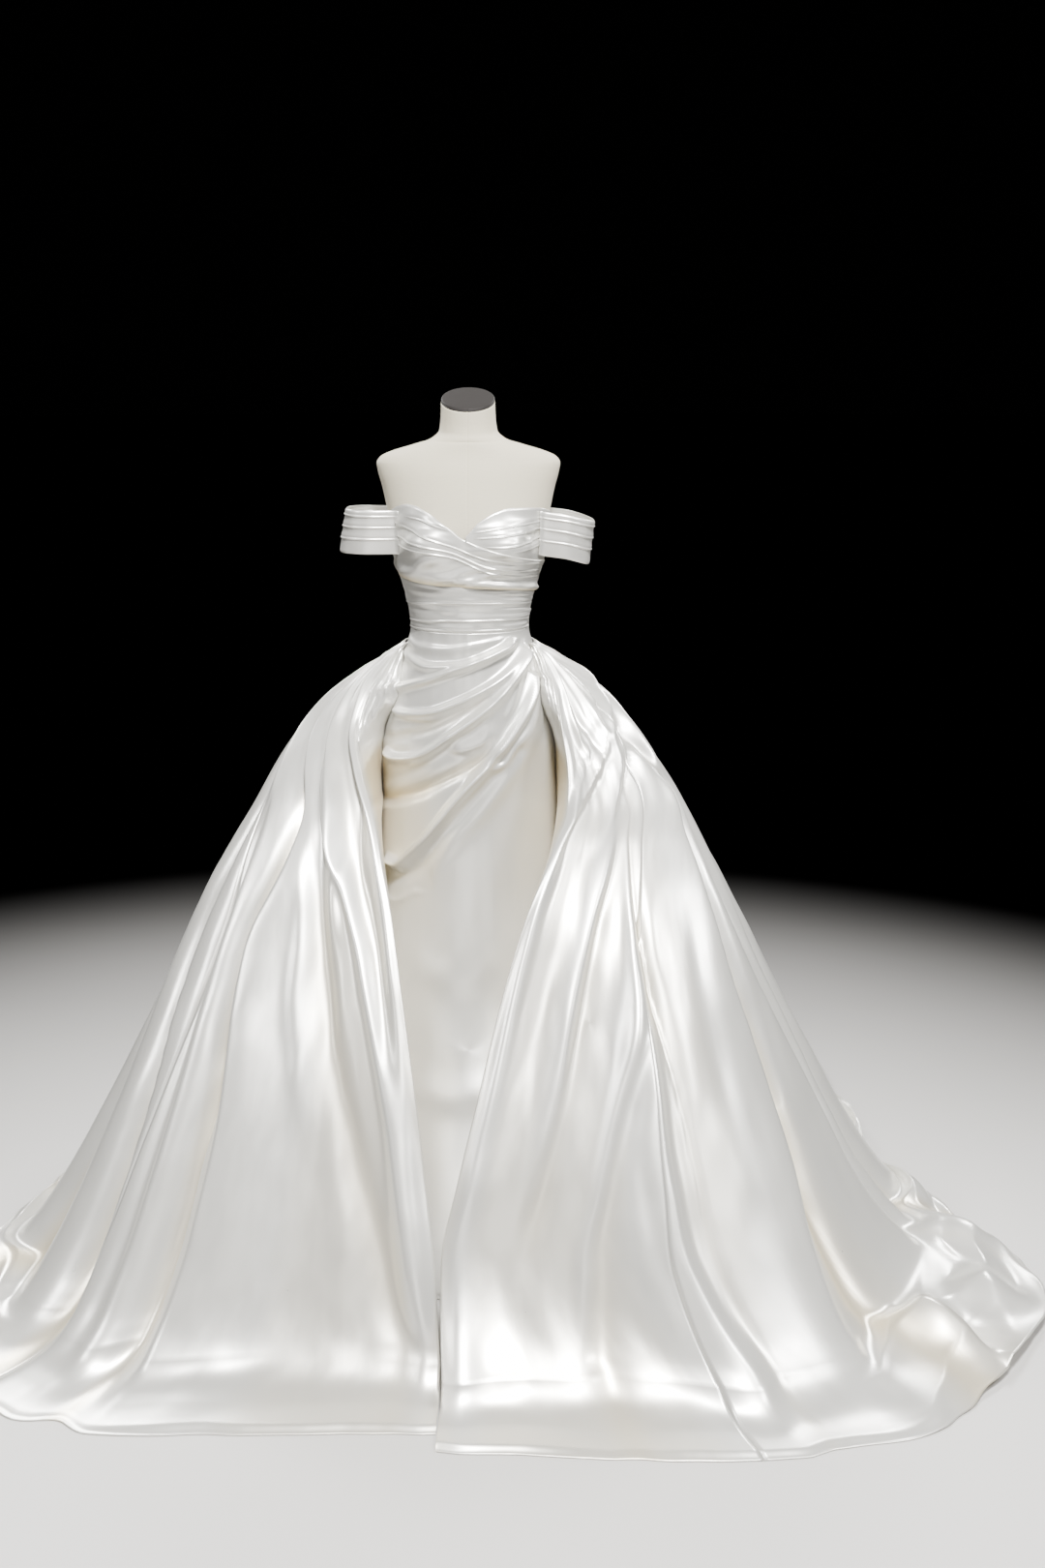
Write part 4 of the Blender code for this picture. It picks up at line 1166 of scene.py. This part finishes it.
def overskirt_points(share, down, lying):
    """The overskirt's outer points and the painted shade of each, deepest in a trough.

    The cloth falls from the waist to its footprint along one curve, blended near the front edges
    to their own line; folds, gathers and fine ripples add to its radius, and heaps to its height.
    A share below 0 or above 1 is the cloth that turns in beyond a front edge.
    """
    beyond = np.maximum(-share, share - 1) / TURN_IN
    side = np.where(share < 0.5, -1.0, 1.0)
    share = np.clip(share, 0, 1)
    rim = np.clip(-down / 0.01, 0, 1)
    down = np.maximum(down, 0)
    height = OVERSKIRT_TOP * (1 - down)
    left = read(FRONT_EDGES, "left", height)
    turn = left + (read(FRONT_EDGES, "right", height) - left) * share
    angle = np.where(turn > 0, 180 - turn, -180 - turn)
    at_foot = -180 + 360 * share
    ground = read(FOOTPRINT, "ground", at_foot)
    along = read(FOOTPRINT, "hem", at_foot) - ground
    top = figure_radius(angle, OVERSKIRT_TOP) + CLOTH_GAP + WALL + FOLD_ROOM + TOP_GAP
    fall = top + (ground - top) * read(FALL, "out", down)
    for edge, away in (("left_radius", share), ("right_radius", 1 - share)):
        fall = fall + (read(FRONT_EDGES, edge, height) - fall) * bell(away, EDGE_SPREAD)

    folds = overskirt_folds(share, down)
    swing = ease((down - 0.01) / (FOLD_FULL - 0.01))
    run = (down + FLOOR_RUN * lying) / (1 + FLOOR_RUN)
    radius = fall + along * lying + (folds - FOLD_REST) * swing * (1 - LYING_CALM * lying)
    radius = radius + waist_gathers(share, down) * ease(down / 0.02) - RIM_BACK * rim
    radius = radius + ripple("overskirt", share, run) * ease(down / 0.3)
    radius = radius + ripple("overskirt_fine", share, run)

    line = height - np.maximum(FOOT_SLOPE * along, FOOT_DROP) * lying
    height = BEND * np.log1p(np.exp(line / BEND))
    height = np.maximum(height + heaps(share, lying, along * lying, folds), LYING_HEIGHT) + RIM_RISE * rim
    points = polar(radius, angle, height)
    # Painted warm shade in the troughs of the folds
    painted_shade = FOLD_SHADE * np.clip((FOLD_REST * 0.6 - folds) / FOLD_TROUGH, 0, 1) * swing

    inward = np.clip(beyond, 0, 1)
    points = np.where((beyond > 0)[..., None], turned_in(points, height, inward, side), points)
    # Painted warm shade on the cloth that sinks in behind the front edge, weaker low down
    tint = SUNK_SHADE + (1 - SUNK_SHADE) * ease((height - 0.60) / 0.2)
    sunk = ease((SUNK_TOP - height) / 0.05) * tint
    return points, np.where(beyond > 0, sunk * ease(inward * 2.5), painted_shade)


def gore_grid(start, end, columns):
    """Shares round, down and along the floor for one gore, with finer rows near the waist and floor.

    The front gores go on beyond their edges by the cloth that turns in.
    """
    stretches = [np.linspace(top, low, rows)[:-1] for top, low, rows in GORE_ROWS]
    hanging = np.concatenate([RIM_ROWS, *stretches, [1.0]])
    floor = np.linspace(0, 1, FLOOR_ROWS)[1:]
    down = np.concatenate([hanging, np.ones(len(floor))])
    lying = np.concatenate([np.zeros(len(hanging)), floor])
    share = np.linspace(end, start, columns)
    beyond = TURN_IN * np.linspace(0, 1, TURN_IN_COLUMNS)[1:] ** 1.4
    if start == 0.0:
        share = np.concatenate([share, -beyond])
    if end == 1.0:
        share = np.concatenate([1 + beyond[::-1], share])
    down, across = np.meshgrid(down, share, indexing="ij")
    return across, down, np.broadcast_to(lying[:, None], down.shape)


def make_overskirt_pieces(sizes, colours):
    """Six gores that meet at seams."""
    finish = satin_material("overskirt_satin", colours)
    start = 0.0
    for name, end, columns in GORES:
        shape = overskirt_points(*gore_grid(start, end, columns))
        add_cloth("overskirt_gore_" + name, "overskirt_" + name, *shape, sizes, finish)
        start = end


# The studio


def make_floor(colours):
    """A plain pale floor with a painted pool of light round the dress, fading to black far away."""
    rim = polar(FLOOR_RADIUS, np.arange(0, 360, 6.0), 0.0)
    floor = mesh_object("studio_floor", rim, [list(range(len(rim)))])
    material, tree, shader = new_material("pale_floor")
    places = add_node(tree, "TexCoord", "Object")
    cloudy = add_node(tree, "TexNoise", "Fac", {"Vector": places, "Scale": 1.6, "Detail": 5.0})
    dim = [0.97 * part for part in colours.floor]
    set_inputs(tree, shader, {"Base Color": add_tint(tree, cloudy, dim, colours.floor), "Roughness": 0.42})
    # Painted fall-off of light: the floor fades to a black emission away from its painted pool of light
    apart = add_node(tree, "VectorMath", "Value", {0: places, 1: LIGHT_POOL_MIDDLE}, operation="DISTANCE")
    reach = {"Value": apart, "From Min": LIGHT_POOL_EDGE, "From Max": LIGHT_POOL_END}
    fade = add_node(tree, "MapRange", "Result", reach, interpolation_type="SMOOTHSTEP")
    dark = add_node(tree, "Emission", "Emission", {"Color": (0.0, 0.0, 0.0, 1)})
    mixed = add_node(tree, "MixShader", "Shader", {"Fac": fade, 1: shader.outputs["BSDF"], 2: dark})
    set_inputs(tree, tree.nodes["Material Output"], {"Surface": mixed})
    floor.data.materials.append(material)


def area_light(name, place, size, power, colour):
    """A square soft light that faces the dress."""
    light = bpy.data.lights.new(name, "AREA")
    light.shape = "SQUARE"
    light.size = size
    light.energy = power
    light.color = colour
    lamp = bpy.data.objects.new(name, light)
    bpy.context.scene.collection.objects.link(lamp)
    facing = (Vector(LIGHTS_AIM) - Vector(place)).to_track_quat("-Z", "Y")
    lamp.matrix_world = Matrix.Translation(place) @ facing.to_matrix().to_4x4()


def make_studio(colours):
    """The floor, the soft lights, the background and the camera."""
    make_floor(colours)
    world = bpy.data.worlds.new("studio")
    world.use_nodes = True
    tree = world.node_tree
    seen = add_node(tree, "LightPath", "Is Camera Ray")
    strength = add_spread(tree, seen, 1.0, SEEN_BACKGROUND)
    set_inputs(tree, tree.nodes["Background"], {"Color": (*colours.backdrop, 1), "Strength": strength})
    bpy.context.scene.world = world
    for light in LIGHTS:
        area_light(*light)

    camera = bpy.data.cameras.new("camera")
    camera.sensor_width = CAMERA_SENSOR
    camera.lens = CAMERA_LENS
    eye = bpy.data.objects.new("camera", camera)
    eye.location = CAMERA_PLACE
    eye.rotation_euler = (np.radians(90 - CAMERA_PITCH), 0.0, 0.0)
    bpy.context.scene.collection.objects.link(eye)
    bpy.context.scene.camera = eye


# The add-on


class DressSizes(bpy.types.PropertyGroup):
    """Sizes that a user would change."""

    cloth_thickness: bpy.props.FloatProperty(
        name="Cloth thickness", description="Thickness of the satin shells", default=0.0012, unit="LENGTH")


def colour(name, description, default):
    """A colour that a user may change."""
    return bpy.props.FloatVectorProperty(name=name, description=description, default=default, subtype="COLOR")


class DressColours(bpy.types.PropertyGroup):
    """Colours of the finishes."""

    satin: colour("Satin", "Ivory satin where it stands proud", (0.78, 0.768, 0.722))
    # Warm colour painted as shade into the satin's troughs, sinks and shaded sides
    satin_hollow: colour("Satin in troughs", "Painted warm shade in its folds", (0.80, 0.69, 0.47))
    linen: colour("Linen", "The form's cover", (0.57, 0.52, 0.395))
    cap: colour("Neck cap", "The form's dark cap", (0.022, 0.020, 0.019))
    steel: colour("Steel", "The stand", (0.60, 0.60, 0.61))
    floor: colour("Floor", "The studio's pale floor", (0.56, 0.545, 0.525))
    backdrop: colour("Background", "The studio's background", (0.03, 0.03, 0.031))


class DRESS_OT_form(bpy.types.Operator):
    """Make the linen form, its neck cap and its stand"""

    bl_idname = "dress.make_form"
    bl_label = "Form and stand"

    def execute(self, context):
        make_form_pieces(context.scene.dress_colours)
        return {"FINISHED"}


class DRESS_OT_bodice(bpy.types.Operator):
    """Make the bodice's drapes, midriff and back panels"""

    bl_idname = "dress.make_bodice"
    bl_label = "Bodice"

    def execute(self, context):
        make_bodice_pieces(context.scene.dress_sizes, context.scene.dress_colours)
        return {"FINISHED"}


class DRESS_OT_sleeves(bpy.types.Operator):
    """Make the two off-shoulder sleeve bands"""

    bl_idname = "dress.make_sleeves"
    bl_label = "Sleeve bands"

    def execute(self, context):
        make_sleeve_pieces(context.scene.dress_sizes, context.scene.dress_colours)
        return {"FINISHED"}


class DRESS_OT_sheath(bpy.types.Operator):
    """Make the sheath's draped front and plain back"""

    bl_idname = "dress.make_sheath"
    bl_label = "Sheath"

    def execute(self, context):
        make_sheath_pieces(context.scene.dress_sizes, context.scene.dress_colours)
        return {"FINISHED"}


class DRESS_OT_overskirt(bpy.types.Operator):
    """Make the overskirt's six gores"""

    bl_idname = "dress.make_overskirt"
    bl_label = "Overskirt"

    def execute(self, context):
        make_overskirt_pieces(context.scene.dress_sizes, context.scene.dress_colours)
        return {"FINISHED"}


class DRESS_OT_studio(bpy.types.Operator):
    """Make the floor, the lights and the camera"""

    bl_idname = "dress.make_studio"
    bl_label = "Studio"

    def execute(self, context):
        make_studio(context.scene.dress_colours)
        return {"FINISHED"}


OPERATORS = (
    DRESS_OT_form,
    DRESS_OT_bodice,
    DRESS_OT_sleeves,
    DRESS_OT_sheath,
    DRESS_OT_overskirt,
    DRESS_OT_studio,
)


class DRESS_PT_panel(bpy.types.Panel):
    """The dress's sizes, colours and pieces"""

    bl_idname = "DRESS_PT_panel"
    bl_label = "Wedding dress"
    bl_space_type = "VIEW_3D"
    bl_region_type = "UI"
    bl_category = "Dress"

    def draw(self, context):
        for group in (context.scene.dress_sizes, context.scene.dress_colours):
            for name in group.__annotations__:
                self.layout.prop(group, name)
        for operator in OPERATORS:
            self.layout.operator(operator.bl_idname)


CLASSES = (DressSizes, DressColours, *OPERATORS, DRESS_PT_panel)


def register():
    for kind in CLASSES:
        bpy.utils.register_class(kind)
    bpy.types.Scene.dress_sizes = bpy.props.PointerProperty(type=DressSizes)
    bpy.types.Scene.dress_colours = bpy.props.PointerProperty(type=DressColours)


def unregister():
    del bpy.types.Scene.dress_colours
    del bpy.types.Scene.dress_sizes
    for kind in reversed(CLASSES):
        bpy.utils.unregister_class(kind)


def main():
    """Register the add-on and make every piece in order."""
    register()
    bpy.ops.dress.make_studio()
    bpy.ops.dress.make_form()
    bpy.ops.dress.make_bodice()
    bpy.ops.dress.make_sleeves()
    bpy.ops.dress.make_sheath()
    bpy.ops.dress.make_overskirt()


if __name__ == "__main__":
    main()
